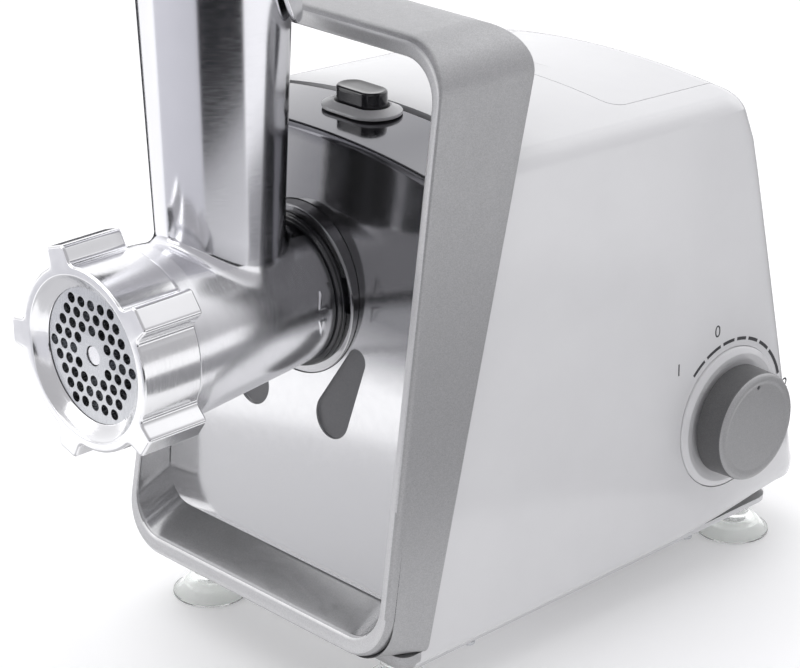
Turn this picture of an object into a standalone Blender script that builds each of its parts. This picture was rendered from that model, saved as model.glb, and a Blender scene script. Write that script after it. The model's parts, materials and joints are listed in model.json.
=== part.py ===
"""Electric meat grinder: body with motor and gear train, and a removable grinding head.

The origin is on the table under the middle of the machine.  +X is the side with the speed knob,
-Y is the front, where the meat comes out, and +Z is up.  Lengths are in metres.
"""

from math import acos, atan2, cos, pi, radians, sin, tan

import bmesh
import bpy
from mathutils import Vector

# ---------------------------------------------------------------- driving dimensions

SOCKET_Y = -0.078           # plane where the grinding head meets the body
AXIS_Z = 0.1736             # height of the grinding axis
GAP = 0.0003                # clearance between pieces that touch
WALL = 0.0025               # thickness of the moulded walls

BODY_BOTTOM = 0.0143        # lower edge of the white housing
BODY_HALF = 0.0850          # half width of the housing at its lower edge
RIDGE_HALF = 0.0805         # half width of the housing at the ridge
RIDGE_FRONT = 0.239         # ridge height at the front of the housing
RIDGE_REAR = 0.232          # ridge height at the rear of the housing
CROWN = 0.008               # rise of the top between its ridges

BEZEL_BOTTOM = 0.029
BEZEL_TOP = 0.297
BEZEL_HALF = 0.0876         # half width at the bottom of the bezel
BEZEL_HALF_TOP = 0.0810
BEZEL_LIP = 0.005
HANDLE_UNDERSIDE = 0.2885

RING_FRONT = -0.112         # the head's stations are measured behind the socket plane
RING_REAR = -0.082
RING_RADIUS = 0.040
RING_TIP_RADIUS = 0.048
RING_LOBES = 5
PLATE_RADIUS = 0.031
PLATE_THICK = 0.005
PLATE_FRONT = -0.1067
THREAD_RADIUS = 0.0363
BARREL_FRONT_RADIUS = 0.0385
BARREL_REAR_RADIUS = 0.0322
BARREL_REAR = -0.0008

HOPPER_Y = -0.0373
HOPPER_BASE_RADIUS = 0.0273
HOPPER_DRAFT = 0.043
HOPPER_BASE_Z = 0.205
HOPPER_TOP_Z = 0.3465

TRAY_HALF = (0.108, 0.070)
TRAY_CORNER = 0.050
TRAY_FLOOR_Z = 0.3468
TRAY_RIM_Z = 0.372
NECK_BOTTOM = 0.303         # the tray's neck slips over the hopper down to here
NECK_WALL = 0.0022

PUSHER_BOTTOM = 0.215
PUSHER_TOP = 0.396

KNOB_Y = 0.2049
KNOB_Z = 0.0759
KNOB_RADIUS = 0.0265
KNOB_FACE = 0.1017
COLLAR_RADIUS = 0.0349

BUTTON_Y = 0.045
LID_FRONT = 0.143
LID_HALF = 0.060
HINGE_Y = 0.2205
HINGE_Z = 0.2225

OUTPUT_TEETH = 45
SECOND_PINION_TEETH = 9
SECOND_MODULE = 0.0016
FIRST_GEAR_TEETH = 48
MOTOR_PINION_TEETH = 8
FIRST_MODULE = 0.0012
LAYSHAFT_Z = AXIS_Z - SECOND_MODULE * (OUTPUT_TEETH + SECOND_PINION_TEETH) / 2
MOTOR_Z = LAYSHAFT_Z - FIRST_MODULE * (FIRST_GEAR_TEETH + MOTOR_PINION_TEETH) / 2

FOOT_RADIUS = 0.018
FRONT_FEET = (0.0640, 0.0050)    # distance from the centre plane, and behind the socket plane
REAR_FEET = (0.0663, 0.2343)
FRONT_SCREWS = (0.0735, 0.040)
REAR_SCREWS = (0.0735, 0.190)

# colour, roughness, metallic
WHITE = ((0.80, 0.80, 0.81), 0.25, 0.0)
SILVER = ((0.42, 0.42, 0.43), 0.35, 0.7)
PANEL = ((0.50, 0.50, 0.51), 0.15, 0.8)
POLISHED = ((0.78, 0.78, 0.80), 0.15, 1.0)
STEEL = ((0.55, 0.56, 0.58), 0.30, 1.0)
BLACK = ((0.02, 0.02, 0.02), 0.40, 0.0)
GREY = ((0.30, 0.30, 0.31), 0.40, 0.0)
CLEAR = ((0.80, 0.82, 0.84), 0.10, 0.0)
NYLON = ((0.75, 0.73, 0.68), 0.50, 0.0)
COPPER = ((0.55, 0.25, 0.12), 0.40, 1.0)
BOARD = ((0.05, 0.22, 0.09), 0.50, 0.0)
BRASS = ((0.60, 0.45, 0.18), 0.35, 1.0)

# ---------------------------------------------------------------- scene and helpers

for leftover in list(bpy.data.objects):
    bpy.data.objects.remove(leftover, do_unlink=True)

PARTS = bpy.data.collections.new("electric_meat_grinder")
CUTTERS = bpy.data.collections.new("cutters")
for group in (PARTS, CUTTERS):
    bpy.context.scene.collection.children.link(group)

TURN = {"X": (0, pi / 2, 0), "Y": (-pi / 2, 0, 0), "Z": (0, 0, 0)}


def behind(distance):
    """World Y of a station measured rearwards from the socket plane."""
    return SOCKET_Y + distance


def four(front, rear):
    """Places of a piece that stands once in each quarter of the base."""
    places = {}
    for end, (x, y) in (("f", front), ("r", rear)):
        places[end + "l"] = (-x, y)
        places[end + "r"] = (x, y)
    return places


FEET = four(FRONT_FEET, REAR_FEET)
SCREWS = four(FRONT_SCREWS, REAR_SCREWS)


def paint(obj, look):
    """Give an object a material of its own."""
    colour, roughness, metallic = look
    surface = bpy.data.materials.new(obj.name)
    surface.use_nodes = True
    shader = surface.node_tree.nodes["Principled BSDF"]
    shader.inputs["Base Color"].default_value = (*colour, 1.0)
    shader.inputs["Roughness"].default_value = roughness
    shader.inputs["Metallic"].default_value = metallic
    surface.diffuse_color = (*colour, 1.0)
    obj.data.materials.append(surface)


def finish(obj, look=None, smooth=True):
    """Put a mesh object in the parts collection with a material of its own."""
    PARTS.objects.link(obj)
    if smooth:
        obj.data.shade_smooth()
        obj.data.set_sharp_from_angle(angle=radians(32))
    if look:
        paint(obj, look)
    return obj


def mesh_object(name, bm):
    mesh = bpy.data.meshes.new(name)
    bm.to_mesh(mesh)
    bm.free()
    return bpy.data.objects.new(name, mesh)


def block(name, low, high, look=None):
    """Box between two corners, with its origin in the middle."""
    bm = bmesh.new()
    bmesh.ops.create_cube(bm, size=1.0)
    size = Vector(high) - Vector(low)
    bmesh.ops.scale(bm, vec=size, verts=bm.verts)
    obj = finish(mesh_object(name, bm), look, smooth=False)
    obj.location = (Vector(low) + Vector(high)) / 2
    return obj


def rod(name, radius, low, high, centre, axis, look=None, sides=20, radius_high=None):
    """Cylinder or cone along an axis; centre holds its two other coordinates."""
    bm = bmesh.new()
    end = radius if radius_high is None else radius_high
    bmesh.ops.create_cone(bm, cap_ends=True, segments=sides, radius1=radius, radius2=end, depth=high - low)
    obj = finish(mesh_object(name, bm), look)
    obj.rotation_euler = TURN[axis]
    place = list(centre)
    place.insert("XYZ".index(axis), (low + high) / 2)
    obj.location = place
    return obj


def turned(name, profile, centre, axis, look=None, sides=32, closed=False):
    """Revolve (radius, station) points, given from top to bottom down the outer side."""
    mesh = bpy.data.meshes.new(name)
    edges = [(i, i + 1) for i in range(len(profile) - 1)]
    if closed:
        edges.append((len(profile) - 1, 0))
    mesh.from_pydata([(radius, 0, station) for radius, station in profile], edges, [])
    obj = finish(bpy.data.objects.new(name, mesh), look, smooth=False)
    screw = obj.modifiers.new("turn", "SCREW")
    screw.axis = "Z"
    screw.steps = sides
    screw.render_steps = sides
    screw.use_merge_vertices = True
    screw.merge_threshold = 0.00001
    screw.use_smooth_shade = True
    obj.rotation_euler = TURN[axis]
    place = list(centre)
    place.insert("XYZ".index(axis), 0)
    obj.location = place
    return obj


def prism(name, outlines, low, high, plane, look=None):
    """Extrude closed outlines; the second and later ones are holes in the first."""
    curve = bpy.data.curves.new(name, "CURVE")
    curve.dimensions = "2D"
    curve.fill_mode = "BOTH"
    curve.extrude = (high - low) / 2
    for outline in outlines:
        spline = curve.splines.new("POLY")
        spline.points.add(len(outline) - 1)
        for point, (u, v) in zip(spline.points, outline):
            point.co = (u, v, 0, 1)
        spline.use_cyclic_u = True
    drawn = bpy.data.objects.new(name + "_outline", curve)
    PARTS.objects.link(drawn)
    evaluated = drawn.evaluated_get(bpy.context.evaluated_depsgraph_get())
    mesh = bpy.data.meshes.new_from_object(evaluated)
    bpy.data.objects.remove(drawn)
    bpy.data.curves.remove(curve)
    bm = bmesh.new()
    bm.from_mesh(mesh)
    bmesh.ops.remove_doubles(bm, verts=bm.verts, dist=0.00001)
    bm.to_mesh(mesh)
    bm.free()
    mesh.name = name
    obj = finish(bpy.data.objects.new(name, mesh), look)
    middle = (low + high) / 2
    if plane == "XZ":
        obj.rotation_euler = (pi / 2, 0, 0)
        obj.location = (0, middle, 0)
    elif plane == "YZ":
        obj.rotation_euler = (pi / 2, 0, pi / 2)
        obj.location = (middle, 0, 0)
    else:
        obj.location = (0, 0, middle)
    return obj


def loft(name, rings, look=None):
    """Skin a row of matching rings of points and close both ends."""
    bm = bmesh.new()
    rows = [[bm.verts.new(point) for point in ring] for ring in rings]
    count = len(rings[0])
    for lower, upper in zip(rows, rows[1:]):
        for i in range(count):
            j = (i + 1) % count
            bm.faces.new((lower[i], lower[j], upper[j], upper[i]))
    bm.faces.new(rows[0])
    bm.faces.new(rows[-1])
    bmesh.ops.recalc_face_normals(bm, faces=bm.faces)
    return finish(mesh_object(name, bm), look)


def combine(target, other, operation):
    """Boolean one object with another, which becomes a hidden cutter."""
    step = target.modifiers.new(other.name, "BOOLEAN")
    step.operation = operation
    step.object = other
    step.solver = "EXACT"
    if other.name not in CUTTERS.objects:
        PARTS.objects.unlink(other)
        CUTTERS.objects.link(other)
        other.hide_render = True
        other.display_type = "WIRE"


def cut(target, *others):
    for other in others:
        combine(target, other, "DIFFERENCE")


def join(target, *others):
    for other in others:
        combine(target, other, "UNION")


def keep(target, *others):
    for other in others:
        combine(target, other, "INTERSECT")


def rounded(corners, steps=4):
    """Outline through (u, v, radius) corners, each turned by an arc."""
    outline = []
    for i, (u, v, radius) in enumerate(corners):
        here = Vector((u, v))
        if radius == 0:
            outline.append((u, v))
            continue
        back = (Vector(corners[i - 1][:2]) - here).normalized()
        ahead = (Vector(corners[(i + 1) % len(corners)][:2]) - here).normalized()
        half = back.angle(ahead) / 2
        centre = here + (back + ahead).normalized() * radius / sin(half)
        start = here + back * radius / tan(half) - centre
        end = here + ahead * radius / tan(half) - centre
        first = atan2(start.y, start.x)
        sweep = (atan2(end.y, end.x) - first + pi) % (2 * pi) - pi
        for k in range(steps + 1):
            angle = first + sweep * k / steps
            outline.append((centre.x + radius * cos(angle), centre.y + radius * sin(angle)))
    return outline


def circle(u, v, radius, sides=16, start=0.0):
    angles = [start + 2 * pi * k / sides for k in range(sides)]
    return [(u + radius * cos(a), v + radius * sin(a)) for a in angles]


def stadium(u, v, length, width, steps=6):
    """Round-ended slot outline, long along u."""
    half = length / 2 - width / 2
    points = []
    for side, first in ((1, -pi / 2), (-1, pi / 2)):
        for k in range(steps + 1):
            angle = first + pi * k / steps
            points.append((u + side * half + width / 2 * cos(angle), v + width / 2 * sin(angle)))
    return points


def at_height(outline, z):
    return [(x, y, z) for x, y in outline]


def at_station(outline, y):
    return [(x, y, z) for x, z in outline]


# ---------------------------------------------------------------- the body's surfaces

def bezel_front(z):
    return behind(-0.0323 + 0.16 * z)


def bezel_rear(z):
    return behind(-0.0076 + 0.2727 * z)


def bezel_half(z):
    slope = (BEZEL_HALF - BEZEL_HALF_TOP) / (BEZEL_TOP - BEZEL_BOTTOM)
    return BEZEL_HALF - slope * (z - BEZEL_BOTTOM)


def panel_front(z):
    return behind(-0.005 + 0.09 * (z - 0.045))


def body_half(z):
    return BODY_HALF - (BODY_HALF - RIDGE_HALF) * (z - BODY_BOTTOM) / (RIDGE_FRONT - BODY_BOTTOM)


def body_rear(z):
    """World Y of the rear wall, which leans forward as it rises."""
    lower = behind(0.2735 - 0.212 * z)
    upper = behind(0.2515 - 0.232 * (z - 0.106))
    shoulder = behind(0.2300 - 0.5 * (z - 0.206))
    return min(lower, upper, shoulder)


def ridge(y):
    return RIDGE_FRONT + (RIDGE_REAR - RIDGE_FRONT) * (y - behind(0.057)) / 0.159


def roof_section(y, inset):
    """Front-view section of the housing at station y, drawn inset from its outer surface."""
    top = ridge(y) - inset
    half = body_half(top) - inset
    base = body_half(0) - inset
    steps = 8
    arc = []
    for k in range(steps + 1):
        x = half * (1 - 2 * k / steps)
        radius = 0.008 if k in (0, steps) else 0
        arc.append((x, top + CROWN * (1 - (x / half) ** 2), radius))
    return rounded([(-base, 0, 0), (base, 0, 0)] + arc, steps=3)


def body_level(z, inset, front):
    """Plan section of the housing at height z."""
    side = body_half(z) + 0.0005 - inset
    rear = body_rear(z) - inset
    corner = 0.016 - inset
    corners = [
        (-side, front + inset, 0.006),
        (side, front + inset, 0.006),
        (side, rear, corner),
        (-side, rear, corner),
    ]
    return at_height(rounded(corners, steps=4), z)


def body_solid(name, inset, bottom):
    """The housing's volume: stacked plan sections under the crowned roof."""
    front = behind(-0.012)
    levels = [bottom, 0.026, 0.106, 0.206, 0.234, 0.262]
    rings = [body_level(z, inset, front) for z in levels]
    if inset == 0:
        rings[0] = body_level(bottom, 0.007, front)
    solid = loft(name, rings)
    roof = [at_station(roof_section(y, inset), y) for y in (behind(-0.03), behind(0.275))]
    keep(solid, loft(name + "_roof", roof))
    return solid


# ---------------------------------------------------------------- housing, bezel and front cover

def build_housing():
    housing = body_solid("main_housing", 0, BODY_BOTTOM)
    paint(housing, WHITE)
    chin_top = BEZEL_BOTTOM - GAP
    wedge = [
        (behind(-0.05), chin_top),
        (bezel_rear(chin_top) + GAP, chin_top),
        (bezel_rear(0.30) + GAP, 0.30),
        (behind(-0.05), 0.30),
    ]
    cavity = body_solid("housing_cavity", WALL, -0.002)
    chin_wall_rear = bezel_rear(BEZEL_BOTTOM) + WALL
    chin_low = (-0.1, behind(-0.03), chin_top - WALL)
    cut(cavity, block("chin_wall", chin_low, (0.1, chin_wall_rear, BEZEL_BOTTOM)))
    cut(housing, cavity)
    cut(housing, prism("bezel_space", [wedge], -0.1, 0.1, "YZ"))
    for tag, (x, y) in SCREWS.items():
        side = 1 if x > 0 else -1
        low_x, high_x = sorted((x - side * 0.0045, side * (BODY_HALF - 0.002)))
        boss = block("boss_" + tag, (low_x, behind(y - 0.005), 0.0182), (high_x, behind(y + 0.005), 0.032))
        join(housing, boss)
        cut(housing, rod("pilot_" + tag, 0.0016, 0.010, 0.028, (x, behind(y)), "Z", sides=12))
    cut(housing, lid_prism("lid_opening", LID_HALF + 0.0004, LID_FRONT - 0.0004, HINGE_Z - 0.0032))
    for side in (-1, 1):
        low_x, high_x = sorted((side * (LID_HALF + 0.0004), side * (LID_HALF + 0.0050)))
        low = (low_x, behind(HINGE_Y - 0.0035), HINGE_Z - 0.006)
        high = (high_x, behind(HINGE_Y + 0.0010), HINGE_Z + 0.0035)
        join(housing, block("hinge_lug_%d" % side, low, high))
    hinge_bore = rod("hinge_bore", 0.0014, -0.0640, 0.0640, (behind(HINGE_Y), HINGE_Z), "X", sides=12)
    cut(housing, hinge_bore)
    seat_x = body_half(KNOB_Z) - 0.0012
    knob_centre = (behind(KNOB_Y), KNOB_Z)
    cut(housing, rod("collar_seat", COLLAR_RADIUS + GAP, seat_x, 0.1, knob_centre, "X", sides=40))
    cut(housing, rod("shaft_hole", 0.0045, 0.06, 0.1, knob_centre, "X", sides=16))
    cut(housing, rod("gland_hole", 0.0074, behind(0.24), behind(0.28), (0, 0.050), "Y", sides=20))
    return housing


def lid_prism(name, half, front, bottom):
    rear = behind(0.24)
    corners = [(-half, behind(front), 0.008), (half, behind(front), 0.008), (half, rear, 0), (-half, rear, 0)]
    return prism(name, [rounded(corners)], bottom, 0.262, "XY")


def build_lid():
    lid = body_solid("storage_lid", 0, BODY_BOTTOM)
    paint(lid, WHITE)
    cut(lid, body_solid("lid_inside", WALL, -0.002))
    keep(lid, lid_prism("lid_outline", LID_HALF, LID_FRONT, HINGE_Z))
    join(lid, rod("lid_knuckle", 0.0029, -0.058, 0.058, (behind(HINGE_Y), HINGE_Z), "X", sides=16))
    cut(lid, rod("lid_bore", 0.0014, -0.065, 0.065, (behind(HINGE_Y), HINGE_Z), "X", sides=12))
    grip = stadium(0.0, behind(LID_FRONT + 0.010), 0.020, 0.009)
    cut(lid, prism("finger_notch", [grip], 0.2425, 0.262, "XY"))
    rod("lid_hinge_pin", 0.0012, -0.0635, 0.0635, (behind(HINGE_Y), HINGE_Z), "X", STEEL, sides=12)
    return lid


def bezel_opening(y):
    """Inner front-view outline of the bezel; its floor climbs towards the rear."""
    floor = 0.0385 + 0.38 * (y - behind(-0.0262))
    low = bezel_half(floor) - BEZEL_LIP
    high = bezel_half(HANDLE_UNDERSIDE) - BEZEL_LIP
    top = HANDLE_UNDERSIDE
    corner = 0.018
    corners = [(-low, floor, corner), (low, floor, corner), (high, top, corner), (-high, top, corner)]
    return rounded(corners, steps=5)


def build_bezel():
    low, high = bezel_half(BEZEL_BOTTOM), bezel_half(BEZEL_TOP)
    corners = [
        (-low, BEZEL_BOTTOM, 0.022),
        (low, BEZEL_BOTTOM, 0.022),
        (high, BEZEL_TOP, 0.024),
        (-high, BEZEL_TOP, 0.024),
    ]
    bezel = prism("handle_bezel", [rounded(corners, steps=6)], behind(-0.05), behind(0.09), "XZ", SILVER)
    side = rounded([
        (bezel_front(0.02), 0.02, 0),
        (bezel_front(0.30), 0.30, 0),
        (bezel_rear(0.30), 0.30, 0.018),
        (bezel_rear(0.02), 0.02, 0),
    ], steps=5)
    keep(bezel, prism("bezel_side_view", [side], -0.1, 0.1, "YZ"))
    stations = (behind(-0.045), behind(0.095))
    cut(bezel, loft("bezel_window", [at_station(bezel_opening(y), y) for y in stations]))
    return bezel


def deck_height(x, y):
    return 0.2448 + 0.02 * (y - behind(0.013)) - 0.0065 * (x / 0.0765) ** 2


def deck_strip(y, thick):
    half = bezel_half(0.24) - BEZEL_LIP - 0.0004
    xs = [half * (1 - 2 * k / 8) for k in range(9)]
    upper = [(x, y, deck_height(x, y)) for x in xs]
    lower = [(x, y, deck_height(x, y) - thick) for x in reversed(xs)]
    return upper + lower


def polar_place(along, across, angle):
    """Front-view point at a distance along a spoke from the drive axis, and across it."""
    x = along * cos(angle) - across * sin(angle)
    z = along * sin(angle) + across * cos(angle)
    return x, AXIS_Z + z


def petal(side, steps=5):
    """Tear-drop outline of one recess below the drive axis, wide at the bottom and leaning outwards."""
    low_x, low_z = side * 0.0260, AXIS_Z - 0.0525
    high_x, high_z = side * 0.0390, AXIS_Z - 0.0236
    low_radius, high_radius = 0.0103, 0.0055
    length = ((high_x - low_x) ** 2 + (high_z - low_z) ** 2) ** 0.5
    lean = atan2(high_z - low_z, high_x - low_x)
    taper = acos((low_radius - high_radius) / length)
    outline = []
    for k in range(steps + 1):
        angle = lean - taper + 2 * taper * k / steps
        outline.append((high_x + high_radius * cos(angle), high_z + high_radius * sin(angle)))
    for k in range(2 * steps + 1):
        angle = lean + taper + 2 * (pi - taper) * k / (2 * steps)
        outline.append((low_x + low_radius * cos(angle), low_z + low_radius * sin(angle)))
    return outline


def build_front_cover():
    panel_side = []
    for z, shift in ((0.040, 0), (0.2460, 0), (0.2460, WALL), (0.040, WALL)):
        panel_side.append((panel_front(z) + shift, z))
    cover = prism("front_cover", [panel_side], -0.09, 0.09, "YZ", PANEL)
    floor = 0.0476
    low = bezel_half(floor) - BEZEL_LIP - 0.0004
    half = bezel_half(0.24) - BEZEL_LIP - 0.0004
    top = []
    for k in range(9):
        x = half * (1 - 2 * k / 8)
        top.append((x, deck_height(x, behind(0.013)) - 0.0005, 0))
    outline = rounded([(-low, floor, 0.018), (low, floor, 0.018)] + top, steps=5)
    keep(cover, prism("panel_outline", [outline], behind(-0.03), behind(0.05), "XZ"))
    rear = bezel_rear(deck_height(0.0765, behind(0.055)) - WALL) - GAP
    join(cover, loft("deck", [deck_strip(y, WALL) for y in (behind(0.0135), rear)]))
    cut(cover, rod("socket_hole", 0.0388, behind(-0.03), behind(0.03), (0, AXIS_Z), "Y", sides=40))
    for side in (-1, 1):
        rings = []
        for depth in (-0.0100, 0.0012):
            rings.append([(x, panel_front(z) + depth, z) for x, z in petal(side)])
        cut(cover, loft("petal_recess", rings))
    hole = prism("collar_hole", [stadium(0, behind(BUTTON_Y), 0.0346, 0.0206)], 0.22, 0.26, "XY")
    cut(cover, hole)
    return cover


# ---------------------------------------------------------------- base, feet and small trim

def build_base():
    edge = 0.0008
    corners = [
        (-(BODY_HALF - 0.0077 - edge), behind(-0.0015), 0.006),
        (BODY_HALF - 0.0077 - edge, behind(-0.0015), 0.006),
        (BODY_HALF - 0.0077 - edge, behind(0.2520), 0.010),
        (-(BODY_HALF - 0.0077 - edge), behind(0.2520), 0.010),
    ]
    outlines = [rounded(corners)]
    for x, y in FEET.values():
        outlines.append(circle(x, behind(y), 0.0033, 12))
    for x, y in SCREWS.values():
        outlines.append(circle(x, behind(y), 0.0018, 12))
    for row in range(5):
        outlines.append(stadium(0, behind(0.165 + 0.010 * row), 0.060, 0.004, steps=2))
    prism("base_plate", outlines, 0.0150, 0.0176, "XY", WHITE)
    foot = [
        (0, 0.0200),
        (0.0044, 0.0200),
        (0.0044, 0.0180),
        (0.0030, 0.0178),
        (0.0030, 0.0146),
        (0.0080, 0.0146),
        (0.0080, 0.0090),
        (FOOT_RADIUS, 0.0),
        (0.0160, 0.0),
        (0.0060, 0.0050),
        (0, 0.0050),
    ]
    for tag, (x, y) in FEET.items():
        turned("suction_foot_" + tag, foot, (x, behind(y)), "Z", CLEAR, sides=16)
    screw = [
        (0, 0.0270),
        (0.0013, 0.0270),
        (0.0013, 0.0147),
        (0.0030, 0.0147),
        (0.0030, 0.0127),
        (0, 0.0127),
    ]
    for tag, (x, y) in SCREWS.items():
        turned("base_screw_" + tag, screw, (x, behind(y)), "Z", STEEL, sides=12)
    gland = [
        (0.0070, behind(0.268)),
        (0.0070, behind(0.2535)),
        (0.0100, behind(0.2535)),
        (0.0100, behind(0.2500)),
        (0.0038, behind(0.2500)),
        (0.0038, behind(0.268)),
    ]
    turned("cord_gland", gland, (0, 0.050), "Y", GREY, sides=20, closed=True)


def build_button():
    y = behind(BUTTON_Y)
    flange = stadium(0, y, 0.0390, 0.0250)
    well = stadium(0, y, 0.0270, 0.0150)
    sleeve = stadium(0, y, 0.0340, 0.0200)
    collar = prism("button_collar", [flange, well], 0.2462, 0.2492, "XY", SILVER)
    skirt = prism("collar_skirt", [sleeve, well], 0.2262, 0.2470, "XY")
    shelf = prism("collar_shelf", [sleeve, circle(0, y, 0.0056, 16)], 0.2245, 0.2265, "XY")
    join(collar, skirt, shelf)
    button = prism("release_button", [stadium(0, y, 0.0262, 0.0142)], 0.2420, 0.2560, "XY", BLACK)
    wedge = [
        (y - 0.004, 0.2145),
        (y - 0.00195, 0.2145),
        (y + 0.003, 0.21945),
        (y + 0.003, 0.2430),
        (y - 0.004, 0.2430),
    ]
    join(button, prism("button_stem", [wedge], -0.0035, 0.0035, "YZ"))
    bolt_side = [
        (behind(0.0134), 0.2072),
        (y + 0.0048, 0.2072),
        (y + 0.0048, 0.2208),
        (y - 0.0030, 0.2130),
        (y - 0.0030, 0.2095),
        (behind(0.0134), 0.2095),
    ]
    prism("lock_bolt", [bolt_side], -0.004, 0.004, "YZ", STEEL)
    spring = bpy.data.curves.new("button_spring", "CURVE")
    spring.dimensions = "3D"
    spring.bevel_depth = 0.0004
    spring.bevel_resolution = 0
    spring.use_fill_caps = True
    turns, per_turn = 4, 8
    line = spring.splines.new("POLY")
    line.points.add(turns * per_turn)
    for k, point in enumerate(line.points):
        angle = 2 * pi * k / per_turn
        rise = 0.2270 + (0.2413 - 0.2270) * k / (turns * per_turn)
        point.co = (0.0063 * cos(angle), y + 0.0063 * sin(angle), rise, 1)
    coil = bpy.data.objects.new("spring_line", spring)
    PARTS.objects.link(coil)
    evaluated = coil.evaluated_get(bpy.context.evaluated_depsgraph_get())
    mesh = bpy.data.meshes.new_from_object(evaluated)
    bpy.data.objects.remove(coil)
    bm = bmesh.new()
    bm.from_mesh(mesh)
    bmesh.ops.remove_doubles(bm, verts=bm.verts, dist=0.00001)
    bm.to_mesh(mesh)
    bm.free()
    finish(bpy.data.objects.new("button_spring", mesh), STEEL)


def build_knob():
    centre = (behind(KNOB_Y), KNOB_Z)
    base = body_half(KNOB_Z)
    collar = [
        (COLLAR_RADIUS - 0.0015, base + 0.0022),
        (COLLAR_RADIUS, base + 0.0010),
        (COLLAR_RADIUS, base - 0.0009),
        (0.0050, base - 0.0009),
        (0.0050, base + 0.0022),
    ]
    turned("knob_collar", collar, centre, "X", WHITE, sides=32, closed=True)
    knob = [
        (0, KNOB_FACE),
        (KNOB_RADIUS - 0.0030, KNOB_FACE),
        (KNOB_RADIUS - 0.0010, KNOB_FACE - 0.0010),
        (KNOB_RADIUS, KNOB_FACE - 0.0035),
        (KNOB_RADIUS + 0.0006, base + 0.0026),
        (0.0034, base + 0.0026),
        (0.0034, KNOB_FACE - 0.0040),
        (0, KNOB_FACE - 0.0040),
    ]
    control = turned("control_knob", knob, centre, "X", SILVER, sides=32)
    dot = (behind(KNOB_Y), KNOB_Z + 0.0204)
    cut(control, rod("pointer_dot", 0.0012, KNOB_FACE - 0.0005, KNOB_FACE + 0.001, dot, "X", sides=10))
    rod("knob_shaft", 0.0031, 0.0640, KNOB_FACE - 0.0044, centre, "X", STEEL, sides=16)
    low = (0.0560, behind(KNOB_Y - 0.015), KNOB_Z - 0.018)
    high = (0.0800, behind(KNOB_Y + 0.015), KNOB_Z + 0.018)
    switch = block("rotary_switch", low, high, BLACK)
    cut(switch, rod("switch_bore", 0.0034, 0.0630, 0.09, centre, "X", sides=16))


def build_storage():
    low = (-0.0560, behind(0.1465), 0.1880)
    high = (0.0560, behind(0.2140), 0.2300)
    storage = block("storage_bin", low, high, WHITE)
    floor = 0.0020
    inner_low = (low[0] + floor, low[1] + floor, low[2] + floor)
    inner_high = (high[0] - floor, high[1] - floor, high[2] + 0.01)
    cut(storage, block("bin_space", inner_low, inner_high))
    x, y = -0.0220, behind(0.1808)
    bottom = low[2] + floor + GAP
    coarse = [circle(x, y, PLATE_RADIUS, 24), circle(x, y, 0.0043, 12)]
    coarse += [circle(x + 0.018 * cos(a), y + 0.018 * sin(a), 0.0062, 10) for a in spread(5)]
    prism("coarse_plate", coarse, bottom, bottom + PLATE_THICK, "XY", STEEL)
    bottom += PLATE_THICK + GAP
    medium = [circle(x, y, PLATE_RADIUS, 24), circle(x, y, 0.0043, 12)]
    medium += [circle(x + 0.0205 * cos(a), y + 0.0205 * sin(a), 0.0040, 8) for a in spread(8)]
    prism("medium_plate", medium, bottom, bottom + PLATE_THICK, "XY", STEEL)


def spread(count, start=0.0):
    return [start + 2 * pi * k / count for k in range(count)]


# ---------------------------------------------------------------- drive train

def tooth_half_angle(teeth, module, radius):
    """Half the angle that an involute tooth spans at a radius, with generous backlash."""
    pitch = teeth * module / 2
    base = pitch * cos(radians(20))
    roll_pitch = acos(base / pitch)
    roll = acos(min(1.0, base / max(radius, base)))
    thickness = 0.40 * pi * module
    return thickness / (2 * pitch) + (tan(roll_pitch) - roll_pitch) - (tan(roll) - roll)


def gear_outline(teeth, module, centre_z, tooth_at, flank_points):
    pitch = teeth * module / 2
    root, tip = pitch - 1.15 * module, pitch + 0.8 * module
    radii = [root + (tip - root) * k / (flank_points - 1) for k in range(flank_points)]
    outline = []
    for index in range(teeth):
        middle = tooth_at + 2 * pi * index / teeth
        rising = [(r, middle - tooth_half_angle(teeth, module, r)) for r in radii]
        falling = [(r, 2 * middle - a) for r, a in reversed(rising)]
        outline += [(r * cos(a), centre_z + r * sin(a)) for r, a in rising + falling]
    return outline


def gear(name, teeth, module, centre_z, tooth_at, bore, low, high, look, flank_points=2):
    outline = gear_outline(teeth, module, centre_z, tooth_at, flank_points)
    prism(name, [outline, circle(0, centre_z, bore, 16)], behind(low), behind(high), "XZ", look)


def sector(radius_in, radius_out, middle, span):
    angles = [middle - span / 2 + span * k / 4 for k in range(5)]
    outer = [(radius_out * cos(a), AXIS_Z + radius_out * sin(a)) for a in angles]
    inner = [(radius_in * cos(a), AXIS_Z + radius_in * sin(a)) for a in reversed(angles)]
    return outer + inner


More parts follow.
